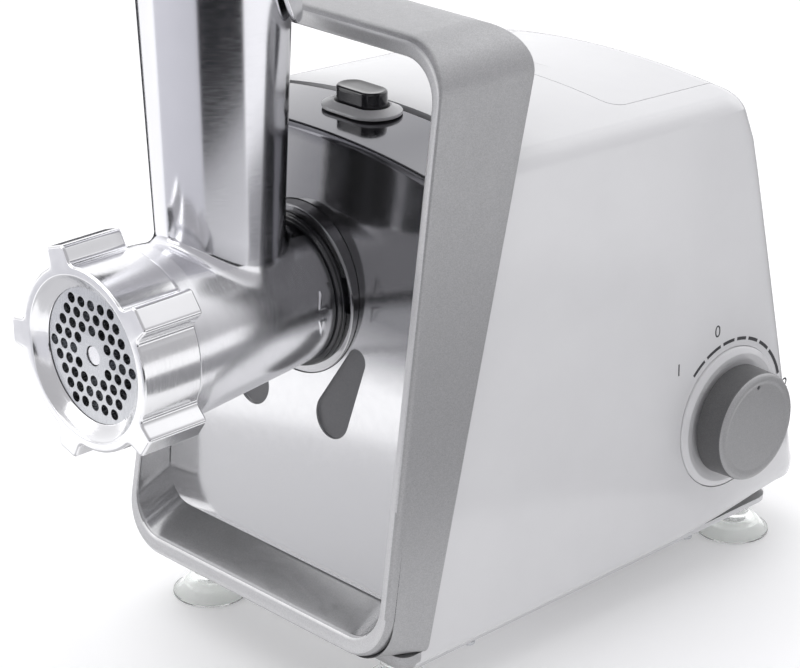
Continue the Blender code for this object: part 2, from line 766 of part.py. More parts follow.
def build_gear_train():
    half_output = pi / OUTPUT_TEETH
    half_first = pi / FIRST_GEAR_TEETH
    up, down = pi / 2, -pi / 2
    second, first = SECOND_MODULE, FIRST_MODULE
    gear("output_gear", OUTPUT_TEETH, second, AXIS_Z, down + half_output, 0.0083, 0.0600, 0.0680, NYLON)
    gear("intermediate_pinion", SECOND_PINION_TEETH, second, LAYSHAFT_Z, up, 0.0034, 0.0590, 0.0687, STEEL, 4)
    turn = down + half_first
    gear("intermediate_gear", FIRST_GEAR_TEETH, first, LAYSHAFT_Z, turn, 0.0034, 0.0690, 0.0750, NYLON)
    gear("motor_pinion", MOTOR_PINION_TEETH, first, MOTOR_Z, up, 0.0024, 0.0680, 0.0755, STEEL, 4)
    rod("intermediate_shaft", 0.0030, behind(0.0558), behind(0.0782), (0, LAYSHAFT_Z), "Y", STEEL, sides=16)
    shaft = [
        (0, behind(0.0782)),
        (0.0060, behind(0.0782)),
        (0.0060, behind(0.0760)),
        (0.0080, behind(0.0760)),
        (0.0080, behind(0.0203)),
        (0.0150, behind(0.0203)),
        (0.0150, behind(0.0135)),
        (0, behind(0.0135)),
    ]
    output = turned("output_shaft", shaft, (0, AXIS_Z), "Y", STEEL, sides=24)
    for index in range(2):
        tooth = sector(0.0050, 0.0125, radians(115 + 180 * index), radians(55))
        join(output, prism("output_dog_%d" % index, [tooth], behind(0.0030), behind(0.0150), "XZ"))
    low, high = behind(0.0380), behind(0.0450)
    ring = [(0.0112, high), (0.0112, low), (0.0082, low), (0.0082, high)]
    turned("output_bearing", ring, (0, AXIS_Z), "Y", BRASS, sides=24, closed=True)


def build_gearbox():
    front, rear = behind(0.0542), behind(0.0770)
    half, low_z, high_z = 0.0430, MOTOR_Z - 0.0140, AXIS_Z + 0.0420
    corners = [(-half, low_z, 0.010), (half, low_z, 0.010), (half, high_z, 0.020), (-half, high_z, 0.020)]
    case = prism("gearbox_case", [rounded(corners)], front, rear, "XZ", GREY)
    inner = [(-half + 0.003, low_z + 0.003, 0.007), (half - 0.003, low_z + 0.003, 0.007)]
    inner += [(half - 0.003, high_z - 0.003, 0.017), (-half + 0.003, high_z - 0.003, 0.017)]
    cut(case, prism("case_space", [rounded(inner)], front + 0.0030, rear + 0.01, "XZ"))
    cut(case, rod("case_output_bore", 0.0083, front - 0.01, front + 0.01, (0, AXIS_Z), "Y", sides=24))
    cut(case, rod("case_lay_bore", 0.0033, front + 0.0013, front + 0.01, (0, LAYSHAFT_Z), "Y", sides=16))
    holes = [circle(0, AXIS_Z, 0.0063, 20), circle(0, LAYSHAFT_Z, 0.0033, 16), circle(0, MOTOR_Z, 0.0026, 16)]
    prism("gearbox_cover", [rounded(corners)] + holes, rear + GAP, rear + 0.0030, "XZ", GREY)


def build_motor():
    centre = (0, MOTOR_Z)
    cover_rear = behind(0.0803)
    shell = [
        (0.0340, behind(0.1700)),
        (0.0340, cover_rear),
        (0.0313, cover_rear),
        (0.0313, behind(0.1670)),
        (0.0072, behind(0.1670)),
        (0.0072, behind(0.1700)),
    ]
    turned("motor_housing", shell, centre, "Y", STEEL, sides=24, closed=True)
    low, high = behind(0.0960), behind(0.1320)
    stack = [(0.0310, high), (0.0310, low), (0.0205, low), (0.0205, high)]
    turned("motor_stator", stack, centre, "Y", STEEL, sides=20, closed=True)
    armature = [
        (0, behind(0.1850)),
        (0.0022, behind(0.1850)),
        (0.0022, behind(0.1345)),
        (0.0195, behind(0.1345)),
        (0.0195, behind(0.0935)),
        (0.0022, behind(0.0935)),
        (0.0022, behind(0.0670)),
        (0, behind(0.0670)),
    ]
    turned("motor_rotor", armature, centre, "Y", STEEL, sides=16)
    low, high = behind(0.1400), behind(0.1560)
    ring = [(0.0110, high), (0.0110, low), (0.0025, low), (0.0025, high)]
    turned("commutator", ring, centre, "Y", COPPER, sides=16, closed=True)
    for tag, station, outer in (("front", 0.0815, 0.0090), ("rear", 0.1674, 0.0069)):
        bush = [
            (outer, behind(station + 0.0050)),
            (outer, behind(station)),
            (0.0025, behind(station)),
            (0.0025, behind(station + 0.0050)),
        ]
        turned("motor_bearing_" + tag, bush, centre, "Y", BRASS, sides=16, closed=True)
    for tag, side in (("left", -1), ("right", 1)):
        low_x, high_x = sorted((side * 0.0114, side * 0.0305))
        low = (low_x, behind(0.1440), MOTOR_Z - 0.003)
        block("carbon_brush_" + tag, low, (high_x, behind(0.1520), MOTOR_Z + 0.003), BLACK)
    fan = rod("motor_fan", 0.0070, behind(0.1740), behind(0.1840), centre, "Y", BLACK, sides=16)
    for index, angle in enumerate(spread(8)):
        blade = block("fan_blade_%d" % index, (0.005, -0.005, -0.0008), (0.0280, 0.005, 0.0008))
        blade.location = (0.0165 * cos(angle), behind(0.1790), MOTOR_Z + 0.0165 * sin(angle))
        blade.rotation_euler = (0, -angle, 0)
        join(fan, blade)
    cut(fan, rod("fan_bore", 0.0025, behind(0.17), behind(0.19), centre, "Y", sides=16))
    cradle = block("motor_cradle", (-0.0240, behind(0.100), 0.0179), (0.0240, behind(0.150), 0.0800), BLACK)
    cut(cradle, rod("cradle_seat", 0.0345, behind(0.09), behind(0.16), centre, "Y", sides=24))
    block("control_board", (-0.0700, behind(0.110), 0.0500), (-0.0684, behind(0.170), 0.1200), BOARD)


# ---------------------------------------------------------------- socket and grinding head

def build_socket():
    profile = [
        (0.0240, behind(0.0538)),
        (0.0240, behind(0.0240)),
        (0.0385, behind(0.0240)),
        (0.0385, behind(0.0036)),
        (0.0377, behind(0.0028)),
        (0.0334, behind(0.0028)),
        (0.0334, behind(0.0085)),
        (0.0366, behind(0.0085)),
        (0.0366, behind(0.0136)),
        (0.0334, behind(0.0136)),
        (0.0334, behind(0.0206)),
        (0.0154, behind(0.0206)),
        (0.0154, behind(0.0240)),
        (0.0115, behind(0.0240)),
        (0.0115, behind(0.0538)),
    ]
    socket = turned("drive_socket", profile, (0, AXIS_Z), "Y", PANEL, sides=32, closed=True)
    for index, angle in enumerate(spread(3, radians(130))):
        entry = block("lug_entry_%d" % index, (0.030, -0.0060, -0.0080), (0.0366, 0.0060, 0.0080))
        entry.location = (0.0333 * cos(angle), behind(0.0046), AXIS_Z + 0.0333 * sin(angle))
        entry.rotation_euler = (0, -angle, 0)
        cut(socket, entry)
    cut(socket, block("bolt_slot", (-0.0043, behind(0.0090), 0.2069), (0.0043, behind(0.030), 0.2098)))
    return socket


def build_bayonet():
    ring_profile = [
        (0.0330, behind(0.0180)),
        (0.0330, behind(0.0025)),
        (0.0348, behind(0.0025)),
        (0.0348, behind(-0.0005)),
        (0.0304, behind(-0.0005)),
        (0.0304, behind(0.0180)),
    ]
    ring = turned("bayonet_ring", ring_profile, (0, AXIS_Z), "Y", BLACK, sides=32, closed=True)
    for index, angle in enumerate(spread(3, pi / 2)):
        tongue = sector(0.0318, 0.0362, angle, radians(22))
        join(ring, prism("lug_%d" % index, [tongue], behind(0.0090), behind(0.0130), "XZ"))
    cut(ring, block("lock_notch", (-0.0044, behind(0.0110), 0.2068), (0.0044, behind(0.0140), 0.2150)))
    return ring


def hopper_radius(z):
    return HOPPER_BASE_RADIUS + HOPPER_DRAFT * (z - HOPPER_BASE_Z)


def bore_radius(z):
    return 0.0250 + 0.0360 * (z - HOPPER_BASE_Z)


def build_head():
    outer = [
        (0, behind(0.0140)),
        (0.0300, behind(0.0140)),
        (0.0300, behind(BARREL_REAR)),
        (BARREL_REAR_RADIUS, behind(BARREL_REAR)),
        (BARREL_FRONT_RADIUS, behind(-0.0730)),
        (BARREL_FRONT_RADIUS, behind(-0.0816)),
        (THREAD_RADIUS, behind(-0.0816)),
        (THREAD_RADIUS, behind(-0.1062)),
        (0, behind(-0.1062)),
    ]
    head = turned("grinder_head", outer, (0, AXIS_Z), "Y", POLISHED, sides=32)
    hopper = [
        (0, HOPPER_TOP_Z),
        (hopper_radius(HOPPER_TOP_Z), HOPPER_TOP_Z),
        (hopper_radius(AXIS_Z), AXIS_Z + 0.002),
        (0, AXIS_Z + 0.002),
    ]
    join(head, turned("hopper_outer", hopper, (0, behind(HOPPER_Y)), "Z", sides=28))
    bore = [
        (0, behind(-0.0140)),
        (0.0262, behind(-0.0140)),
        (0.0300, behind(-0.0980)),
        (PLATE_RADIUS + 0.0003, behind(-0.0980)),
        (PLATE_RADIUS + 0.0003, behind(-0.1200)),
        (0, behind(-0.1200)),
    ]
    throat = [
        (0, HOPPER_TOP_Z + 0.01),
        (bore_radius(HOPPER_TOP_Z + 0.01), HOPPER_TOP_Z + 0.01),
        (bore_radius(AXIS_Z), AXIS_Z + 0.004),
        (0, AXIS_Z + 0.004),
    ]
    cut(head, turned("barrel_bore", bore, (0, AXIS_Z), "Y", sides=32))
    cut(head, turned("hopper_bore", throat, (0, behind(HOPPER_Y)), "Z", sides=28))
    cut(head, rod("bush_bore", 0.0128, behind(-0.03), behind(0.03), (0, AXIS_Z), "Y", sides=24))
    cut(head, rod("spigot_space", 0.0268, behind(-0.0040), behind(0.02), (0, AXIS_Z), "Y", sides=24))
    bush = [
        (0.0125, behind(-0.0042)),
        (0.0125, behind(-0.0138)),
        (0.0098, behind(-0.0138)),
        (0.0098, behind(-0.0042)),
    ]
    turned("auger_bush", bush, (0, AXIS_Z), "Y", NYLON, sides=24, closed=True)
    return head


def build_auger():
    core = [
        (0, behind(0.0020)),
        (0.0095, behind(0.0020)),
        (0.0095, behind(-0.0142)),
        (0.0140, behind(-0.0150)),
        (0.0115, behind(-0.0950)),
        (0.0085, behind(-0.0966)),
        (0.0040, behind(-0.0966)),
        (0.0040, behind(-0.1060)),
        (0, behind(-0.1060)),
    ]
    auger = turned("auger", core, (0, AXIS_Z), "Y", POLISHED, sides=24)
    turns, per_turn = 2.6, 13
    count = int(turns * per_turn)
    rings = []
    for k in range(count + 1):
        share = k / count
        angle = 2 * pi * turns * share
        station = -0.0200 - 0.0700 * share
        tip = 0.0255 + 0.0034 * share
        ring = []
        for radius, offset in ((0.0080, 0.0035), (tip, 0.0013), (tip, -0.0013), (0.0080, -0.0035)):
            ring.append((radius * cos(angle), behind(station + offset), AXIS_Z + radius * sin(angle)))
        rings.append(ring)
    join(auger, loft("auger_flight", rings))
    square = 0.0040
    join(auger, drive_block("knife_square", square, square, -0.1012, -0.0900))
    for index in range(2):
        tooth = sector(0.0050, 0.0122, pi * index, radians(55))
        join(auger, prism("auger_dog_%d" % index, [tooth], behind(0.0015), behind(0.0130), "XZ"))
    join(auger, rod("dog_root", 0.0122, behind(-0.0010), behind(0.0022), (0, AXIS_Z), "Y", sides=24))
    arm, tip = 0.0035, 0.0270
    knife = drive_block("cutting_knife", tip, arm, -0.1014, -0.0982, STEEL)
    join(knife, drive_block("knife_arm", arm, tip, -0.10141, -0.09819))
    join(knife, rod("knife_hub", 0.0085, behind(-0.1013), behind(-0.0968), (0, AXIS_Z), "Y", sides=24))
    cut(knife, drive_block("knife_hole", square + 0.0002, square + 0.0002, -0.11, -0.09))
    return auger


def drive_block(name, half_x, half_z, low, high, look=None):
    """Box centred on the drive axis between two stations."""
    return block(name, (-half_x, behind(low), AXIS_Z - half_z), (half_x, behind(high), AXIS_Z + half_z), look)


def build_plate():
    holes = [circle(0, AXIS_Z, 0.0044, 12)]
    for radius, count in ((0.0140, 7), (0.0235, 13)):
        holes += [circle(radius * cos(a), AXIS_Z + radius * sin(a), 0.0028, 6) for a in spread(count)]
    low = behind(PLATE_FRONT)
    outlines = [circle(0, AXIS_Z, PLATE_RADIUS, 32)] + holes
    prism("grinding_plate", outlines, low, low + PLATE_THICK, "XZ", STEEL)


def build_ring():
    profile = [
        (RING_RADIUS, behind(RING_REAR)),
        (RING_RADIUS, behind(RING_FRONT + 0.0015)),
        (RING_RADIUS - 0.0015, behind(RING_FRONT)),
        (0.0372, behind(RING_FRONT)),
        (0.0355, behind(RING_FRONT + 0.0008)),
        (0.0293, behind(PLATE_FRONT - GAP)),
        (0.0368, behind(PLATE_FRONT - GAP)),
        (0.0368, behind(RING_REAR)),
    ]
    ring = turned("screw_ring", profile, (0, AXIS_Z), "Y", POLISHED, sides=40, closed=True)
    for index, angle in enumerate(spread(RING_LOBES, radians(37))):
        lobe = lobe_prism("ring_lobe_%d" % index, angle)
        join(ring, lobe)
    return ring


def lobe_prism(name, angle):
    """Grip lobe on the screw ring: a rounded tab that leans out of the rim."""
    root, tip = 0.0384, RING_TIP_RADIUS
    corners = [(root, -0.0085, 0), (tip, -0.0052, 0.002), (tip, 0.0052, 0.002), (root, 0.0085, 0)]
    outline = []
    for along, across in rounded(corners, steps=3):
        outline.append(polar_place(along, across, angle))
    return prism(name, [outline], behind(RING_FRONT + 0.0004), behind(RING_REAR), "XZ")


# ---------------------------------------------------------------- tray and pusher

def tray_outline(inset, corner):
    x, y = TRAY_HALF[0] - inset, TRAY_HALF[1] - inset
    middle = behind(HOPPER_Y)
    front, rear = middle - y, middle + y
    corners = [(-x, front, corner), (x, front, corner), (x, rear, corner), (-x, rear, corner)]
    return rounded(corners, steps=5)


def build_tray():
    floor_inset = 0.012
    low, high = TRAY_FLOOR_Z, TRAY_RIM_Z
    rings = [
        at_height(tray_outline(floor_inset, TRAY_CORNER - floor_inset), low),
        at_height(tray_outline(0.004, TRAY_CORNER - 0.004), high - 0.003),
        at_height(tray_outline(0, TRAY_CORNER), high - 0.003),
        at_height(tray_outline(0, TRAY_CORNER), high),
    ]
    tray = loft("hopper_tray", rings, POLISHED)
    hollow = [
        at_height(tray_outline(floor_inset + 0.002, TRAY_CORNER - floor_inset - 0.002), low + 0.0022),
        at_height(tray_outline(0.006, TRAY_CORNER - 0.006), high + 0.0003),
    ]
    sleeve = hopper_radius(HOPPER_TOP_Z) + 0.0004
    neck = [
        (sleeve + NECK_WALL, low + 0.001),
        (sleeve + NECK_WALL, NECK_BOTTOM),
        (sleeve, NECK_BOTTOM),
        (sleeve, low + 0.001),
    ]
    join(tray, turned("tray_neck", neck, (0, behind(HOPPER_Y)), "Z", sides=28, closed=True))
    cut(tray, loft("tray_hollow", hollow))
    cut(tray, rod("tray_hole", 0.0304, 0.33, 0.36, (0, behind(HOPPER_Y)), "Z", sides=28))
    return tray


def build_pusher():
    top, bottom = PUSHER_TOP, PUSHER_BOTTOM
    profile = [
        (0.0330, top),
        (0.0330, top - 0.003),
        (bore_radius(HOPPER_TOP_Z) - 0.0006, top - 0.006),
        (bore_radius(HOPPER_TOP_Z) - 0.0006, HOPPER_TOP_Z),
        (bore_radius(bottom) - 0.0006, bottom + 0.001),
        (bore_radius(bottom) - 0.0016, bottom),
        (0, bottom),
    ]
    inside = [
        (0, top + 0.01),
        (0.0268, top + 0.01),
        (0.0268, HOPPER_TOP_Z),
        (bore_radius(bottom) - 0.0030, bottom + 0.002),
        (0, bottom + 0.002),
    ]
    pusher = turned("pusher", [(0, top)] + profile, (0, behind(HOPPER_Y)), "Z", WHITE, sides=28)
    cut(pusher, turned("pusher_inside", inside, (0, behind(HOPPER_Y)), "Z", sides=20))
    return pusher


build_housing()
build_lid()
build_bezel()
build_front_cover()
build_base()
build_button()
build_knob()
build_storage()
build_gear_train()
build_gearbox()
build_motor()
build_socket()
build_bayonet()
build_head()
build_auger()
build_plate()
build_ring()
build_tray()
build_pusher()
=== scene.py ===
import json
from math import acos, atan2, cos, hypot, pi, radians, sin, sqrt, tan

import bmesh
import bpy
import numpy as np
from mathutils import Euler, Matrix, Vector


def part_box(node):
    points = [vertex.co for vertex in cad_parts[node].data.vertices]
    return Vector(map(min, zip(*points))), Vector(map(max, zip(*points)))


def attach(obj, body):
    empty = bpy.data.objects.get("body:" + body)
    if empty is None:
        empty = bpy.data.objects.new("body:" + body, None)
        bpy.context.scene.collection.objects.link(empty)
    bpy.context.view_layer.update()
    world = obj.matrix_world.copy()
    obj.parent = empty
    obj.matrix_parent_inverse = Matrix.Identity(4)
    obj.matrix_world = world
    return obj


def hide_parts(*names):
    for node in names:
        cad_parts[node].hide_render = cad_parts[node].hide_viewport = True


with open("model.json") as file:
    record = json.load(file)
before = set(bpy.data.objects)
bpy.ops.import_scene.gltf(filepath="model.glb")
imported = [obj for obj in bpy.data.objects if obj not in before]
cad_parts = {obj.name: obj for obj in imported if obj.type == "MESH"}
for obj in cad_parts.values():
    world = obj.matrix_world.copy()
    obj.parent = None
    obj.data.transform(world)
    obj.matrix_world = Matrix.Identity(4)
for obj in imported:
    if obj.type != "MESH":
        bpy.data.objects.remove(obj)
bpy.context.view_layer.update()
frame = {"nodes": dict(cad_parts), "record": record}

# Electric meat grinder.  The frame's origin is on the table under the middle of the machine; +X is the
# side with the speed knob, -Y the front and +Z up.  Lengths are in metres.

# ---------------------------------------------------------------- dimensions, worked out from the frame

def centre_of(node):
    """Centre of a CAD node's box."""
    low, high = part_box(node)
    return [(a + b) / 2 for a, b in zip(low, high)]


RING_REST_OFFSET = 0.0005   # the bayonet ring's flange stands this far proud of the socket plane
SOCKET_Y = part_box("bayonet_ring")[0].y + RING_REST_OFFSET
AXIS_Z = centre_of("grinding_plate")[2]
AXIS = (0, AXIS_Z)
GAP = 0.0003
WALL = 0.0025

BODY_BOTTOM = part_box("main_housing")[0].z
BODY_HALF = 0.085
RIDGE_HALF = 0.0805
RIDGE_FRONT = 0.239
RIDGE_REAR = 0.232
CROWN = 0.008
CHIN_Y = SOCKET_Y - 0.012
RIDGE_ROUND = 0.008
REAR_CORNER = 0.016
FRONT_CORNER = 0.006

BEZEL_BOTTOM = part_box("handle_bezel")[0].z
BEZEL_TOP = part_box("handle_bezel")[1].z
BEZEL_HALF = 0.0876
BEZEL_HALF_TOP = 0.081
BEZEL_LIP = 0.005
BEZEL_LEAN = 0.2727   # how far the bezel's rear face moves back for each metre upwards
HANDLE_UNDERSIDE = BEZEL_TOP - 0.0085
HANDLE_ROUND = 0.018

HOPPER_Y = SOCKET_Y - 0.0373
HOPPER_TOP_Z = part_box("grinder_head")[1].z
TRAY_LOW, TRAY_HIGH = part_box("hopper_tray")
TRAY_FLOOR_Z = HOPPER_TOP_Z + GAP
PUSHER_LOW, PUSHER_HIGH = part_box("pusher")
KNOB_LOW, KNOB_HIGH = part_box("control_knob")
KNOB_Y, KNOB_Z = centre_of("control_knob")[1:]
BUTTON_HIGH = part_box("release_button")[1]
BUTTON_Y = SOCKET_Y + 0.045
LID_HALF = 0.06
LID_FRONT = 0.143
HINGE_Y = SOCKET_Y + 0.2205
HINGE_Z = 0.2225
HINGE_HOLE = 0.0014   # radius
LID_CLEARANCE = 0.0004
COVER_CLEARANCE = 0.0004
DECK_HALF = 0.0765
CORNERS = ("fl", "fr", "rl", "rr")


def behind(distance):
    """Y of a station measured rearwards from the socket plane."""
    return SOCKET_Y + distance


def profile_behind(*corners):
    """(radius, distance behind the socket plane, rounding) corners with the distances made into Y."""
    return [(radius, behind(distance), *rounding) for radius, distance, *rounding in corners]


def body_half(z):
    """Half width of the housing at height z."""
    return BODY_HALF - (BODY_HALF - RIDGE_HALF) * (z - BODY_BOTTOM) / (RIDGE_FRONT - BODY_BOTTOM)


def body_rear(z):
    """Y of the rear wall, which leans forward in three stretches that flow into each other."""
    low, middle, high = 0.2735 - 0.212 * z, 0.2515 - 0.232 * (z - 0.106), 0.23 - 0.5 * (z - 0.206)
    stretches = (behind(low), behind(middle), behind(high))
    ease = 0.001
    return -ease * np.log(sum(np.exp(-stretch / ease) for stretch in stretches))


def ridge(y):
    return RIDGE_FRONT + (RIDGE_REAR - RIDGE_FRONT) * (y - behind(0.057)) / 0.159


def bezel_half(z):
    return BEZEL_HALF - (BEZEL_HALF - BEZEL_HALF_TOP) * (z - BEZEL_BOTTOM) / (BEZEL_TOP - BEZEL_BOTTOM)


def bezel_front(z):
    return behind(-0.0323 + 0.16 * z)


def bezel_rear(z):
    return behind(-0.0076 + BEZEL_LEAN * z)


def panel_front(z):
    return behind(-0.005 + 0.09 * (z - 0.045))


def deck_height(x, y):
    return 0.2448 + 0.02 * (y - behind(0.013)) - 0.0065 * (x / DECK_HALF) ** 2


def cover_half(z):
    """Half width of the front cover, which sits inside the bezel."""
    return bezel_half(z) - BEZEL_LIP - COVER_CLEARANCE


def hopper_radius(z):
    return 0.0273 + 0.043 * (z - 0.205)


def bore_radius(z):
    return 0.025 + 0.036 * (z - 0.205)


def barrel_radius(y):
    """Radius of the barrel, which tapers from its front to its rear."""
    return np.interp(y, [behind(-0.073), behind(-0.0008)], [0.0385, 0.0322])


# ---------------------------------------------------------------- mesh helpers

def piece(name, points, faces, sharp=35):
    """Closed mesh object with outward normals, smooth except at edges sharper than the given angle."""
    mesh = bpy.data.meshes.new(name)
    points = [tuple(map(float, point)) for point in points]
    mesh.from_pydata(points, [], [tuple(map(int, face)) for face in faces])
    bm = bmesh.new()
    bm.from_mesh(mesh)
    bmesh.ops.remove_doubles(bm, verts=bm.verts, dist=1e-7)
    bmesh.ops.recalc_face_normals(bm, faces=bm.faces)
    bm.to_mesh(mesh)
    bm.free()
    obj = bpy.data.objects.new(name, mesh)
    bpy.context.scene.collection.objects.link(obj)
    smooth(obj, sharp)
    return obj


def smooth(obj, sharp=35):
    obj.data.shade_smooth()
    obj.data.set_sharp_from_angle(angle=radians(sharp))


def skin(name, rings, around=True, along=False, caps=False, sharp=35):
    """Quads between matching rings of points."""
    rings = np.asarray(rings, float)
    rows, count = rings.shape[:2]
    index = np.arange(rows * count).reshape(rows, count)
    faces = []
    for row in range(rows if along else rows - 1):
        ahead = (row + 1) % rows
        for column in range(count if around else count - 1):
            beside = (column + 1) % count
            faces.append((index[row][column], index[row][beside], index[ahead][beside], index[ahead][column]))
    if caps:
        faces.append(index[0][::-1])
        faces.append(index[-1])
    return piece(name, rings.reshape(-1, 3), faces, sharp)


def placed(radius, angle, station, centre, axis):
    """Point at a radius and angle round an axis; centre holds the two coordinates across the axis."""
    u, v = centre[0] + radius * cos(angle), centre[1] + radius * sin(angle)
    return {"X": (station, u, v), "Y": (u, station, v), "Z": (u, v, station)}[axis]


def turned(name, profile, centre, axis, steps=128, closed=False):
    """Revolve (radius, station) points round an axis."""
    angles = spread(steps)
    rings = [[placed(radius, a, station, centre, axis) for a in angles] for radius, station in profile]
    return skin(name, rings, along=closed)


def rounded(corners, steps=6, runs=1):
    """Points through (u, v, radius) corners, each turned by an arc; runs divides the straights."""
    outline = []
    for i, (u, v, radius) in enumerate(corners):
        here = Vector((u, v))
        if radius == 0:
            arc = [(u, v)]
        else:
            back = (Vector(corners[i - 1][:2]) - here).normalized()
            ahead = (Vector(corners[(i + 1) % len(corners)][:2]) - here).normalized()
            half = back.angle(ahead) / 2
            centre = here + (back + ahead).normalized() * radius / sin(half)
            start = here + back * radius / tan(half) - centre
            end = here + ahead * radius / tan(half) - centre
            first = atan2(start.y, start.x)
            sweep = (atan2(end.y, end.x) - first + pi) % (2 * pi) - pi
            angles = [first + sweep * k / steps for k in range(steps + 1)]
            arc = [(centre.x + radius * cos(a), centre.y + radius * sin(a)) for a in angles]
        outline.append(arc)
    points = []
    for i, arc in enumerate(outline):
        points += arc
        last, following = arc[-1], outline[(i + 1) % len(outline)][0]
        if i == len(outline) - 1 and corners[0][2] == 0 and corners[-1][2] == 0:
            break
        for k in range(1, runs):
            share = k / runs
            points.append(tuple(a + (b - a) * share for a, b in zip(last, following)))
    return points


def spread(count, start=0.0):
    return [start + 2 * pi * k / count for k in range(count)]


def circle(u, v, radius, sides):
    return [(u + radius * cos(a), v + radius * sin(a)) for a in spread(sides)]


def swung(points, angle):
    """Points of a plane turned about its origin."""
    return [(u * cos(angle) - v * sin(angle), u * sin(angle) + v * cos(angle)) for u, v in points]


def stadium(u, v, length, width, steps=12):
    """Round-ended slot outline, long along u."""
    half = (length - width) / 2
    points = []
    for side, first in ((1, -pi / 2), (-1, pi / 2)):
        for k in range(steps + 1):
            angle = first + pi * k / steps
            points.append((u + side * half + width / 2 * cos(angle), v + width / 2 * sin(angle)))
    return points


def in_plane(u, v, w, plane):
    return {"XY": (u, v, w), "XZ": (u, w, v), "YZ": (w, u, v)}[plane]


def prism(name, outline, low, high, plane):
    """Extrude one closed outline between two stations."""
    return skin(name, [[in_plane(u, v, w, plane) for u, v in outline] for w in (low, high)], caps=True)


def filled(name, curve, place):
    """Piece made from what a curve fills, with each point put in its place."""
    drawn = bpy.data.objects.new(name + "_outline", curve)
    bpy.context.scene.collection.objects.link(drawn)
    mesh = bpy.data.meshes.new_from_object(drawn.evaluated_get(bpy.context.evaluated_depsgraph_get()))
    bpy.data.objects.remove(drawn)
    points = [place(vertex.co) for vertex in mesh.vertices]
    obj = piece(name, points, [tuple(face.vertices) for face in mesh.polygons])
    bpy.data.meshes.remove(mesh)
    return obj


def slab(name, outlines, low, high, plane, edge=0.0):
    """Extrude outlines with rounded rims; the second and later ones are holes in the first."""
    curve = bpy.data.curves.new(name, "CURVE")
    curve.dimensions = "2D"
    curve.fill_mode = "BOTH"
    curve.extrude = (high - low) / 2 - edge
    curve.bevel_depth = edge
    curve.bevel_resolution = 1
    curve.offset = -edge
    for number, outline in enumerate(outlines):
        spline = curve.splines.new("POLY")
        spline.points.add(len(outline) - 1)
        ordered = outline if number == 0 else outline[::-1]
        for point, (u, v) in zip(spline.points, ordered):
            point.co = (u, v, 0, 1)
        spline.use_cyclic_u = True
    middle = (low + high) / 2
    return filled(name, curve, lambda p: in_plane(p.x, p.y, middle + p.z, plane))


def block(name, low, high, edge=0.0006):
    """Box between two corners with rounded edges."""
    bm = bmesh.new()
    bmesh.ops.create_cube(bm, size=1.0)
    size, middle = Vector(high) - Vector(low), (Vector(low) + Vector(high)) / 2
    for vertex in bm.verts:
        vertex.co = Vector(a * b for a, b in zip(vertex.co, size)) + middle
    if edge:
        bmesh.ops.bevel(bm, geom=bm.edges, offset=edge, segments=2, affect="EDGES", profile=0.5)
    mesh = bpy.data.meshes.new(name)
    bm.to_mesh(mesh)
    bm.free()
    obj = bpy.data.objects.new(name, mesh)
    bpy.context.scene.collection.objects.link(obj)
    smooth(obj)
    return obj


def bake(obj):
    """Replace an object's mesh by what its modifiers make of it."""
    made = bpy.data.meshes.new_from_object(obj.evaluated_get(bpy.context.evaluated_depsgraph_get()))
    obj.modifiers.clear()
    worn = obj.data
    obj.data = made
    bpy.data.meshes.remove(worn)


def combine(target, others, operation):
    """Boolean a piece with others, which are used up."""
    for other in others:
        step = target.modifiers.new("combine", "BOOLEAN")
        step.operation = operation
        step.object = other
        step.solver = "EXACT"
    bake(target)
    for other in others:
        bpy.data.objects.remove(other, do_unlink=True)
    smooth(target)


def cut(target, *others):
    combine(target, others, "DIFFERENCE")


def join(target, *others):
    combine(target, others, "UNION")


def keep(target, *others):
    combine(target, others, "INTERSECT")


def soften(obj, width, segments=2, angle=50):
    """Round the sharp edges, and hold the flat faces flat when they are shaded."""
    bevel = obj.modifiers.new("rounded_edges", "BEVEL")
    bevel.width = width
    bevel.segments = segments
    bevel.limit_method = "ANGLE"
    bevel.angle_limit = radians(angle)
    bevel.use_clamp_overlap = True
    bake(obj)
    smooth(obj, 40)
    level_shading(obj)


def level_shading(obj):
    weighted = obj.modifiers.new("face_weights", "WEIGHTED_NORMAL")
    weighted.keep_sharp = True
    weighted.weight = 60
    return obj


def put(obj, body, slot, look, *replaced):
    """Give a piece its material and its body, and hide the CAD nodes that it stands for; the slot is not
    used.
    """
    obj.data.materials.clear()
    obj.data.materials.append(look)
    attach(obj, body)
    if replaced:
        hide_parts(*replaced)


# ---------------------------------------------------------------- implicit surfaces

def round_max(a, b, radius):
    """Intersection of two fields with their common edge rounded."""
    a, b = a + radius, b + radius
    return np.minimum(np.maximum(a, b), 0) + np.hypot(np.maximum(a, 0), np.maximum(b, 0)) - radius


def round_min(a, b, radius):
    """Union of two fields with a fillet where they meet."""
    corner = np.hypot(np.maximum(radius - a, 0), np.maximum(radius - b, 0))
    return np.maximum(radius, np.minimum(a, b)) - corner


def projected(points, field, level=0.0):
    """Move points along the field's gradient until they lie where the field has the level."""
    step = 1e-5
    points = np.array(points, float)
    for _ in range(12):
        value = field(points) - level
        rises = [field(points + step * e) - field(points - step * e) for e in np.eye(3)]
        gradient = np.stack(rises, axis=1) / (2 * step)
        points -= (value / np.maximum((gradient ** 2).sum(axis=1), 1e-6))[:, None] * gradient
    return points


# ---------------------------------------------------------------- housing and lid

def body_field(points, floor):
    x, y, z = np.abs(points[:, 0]), points[:, 1], points[:, 2]
    roof = ridge(y) + CROWN * (1 - (x / body_half(RIDGE_FRONT)) ** 2)
    walls = round_max(x - body_half(z), y - body_rear(z), REAR_CORNER)
    walls = round_max(walls, CHIN_Y - y, FRONT_CORNER)
    upper = round_max(walls, z - roof, RIDGE_ROUND)
    rearwards = np.clip((y - behind(0.15)) / 0.09, 0, 1)
    return round_max(upper, floor - z, 0.009 + 0.01 * rearwards ** 2)


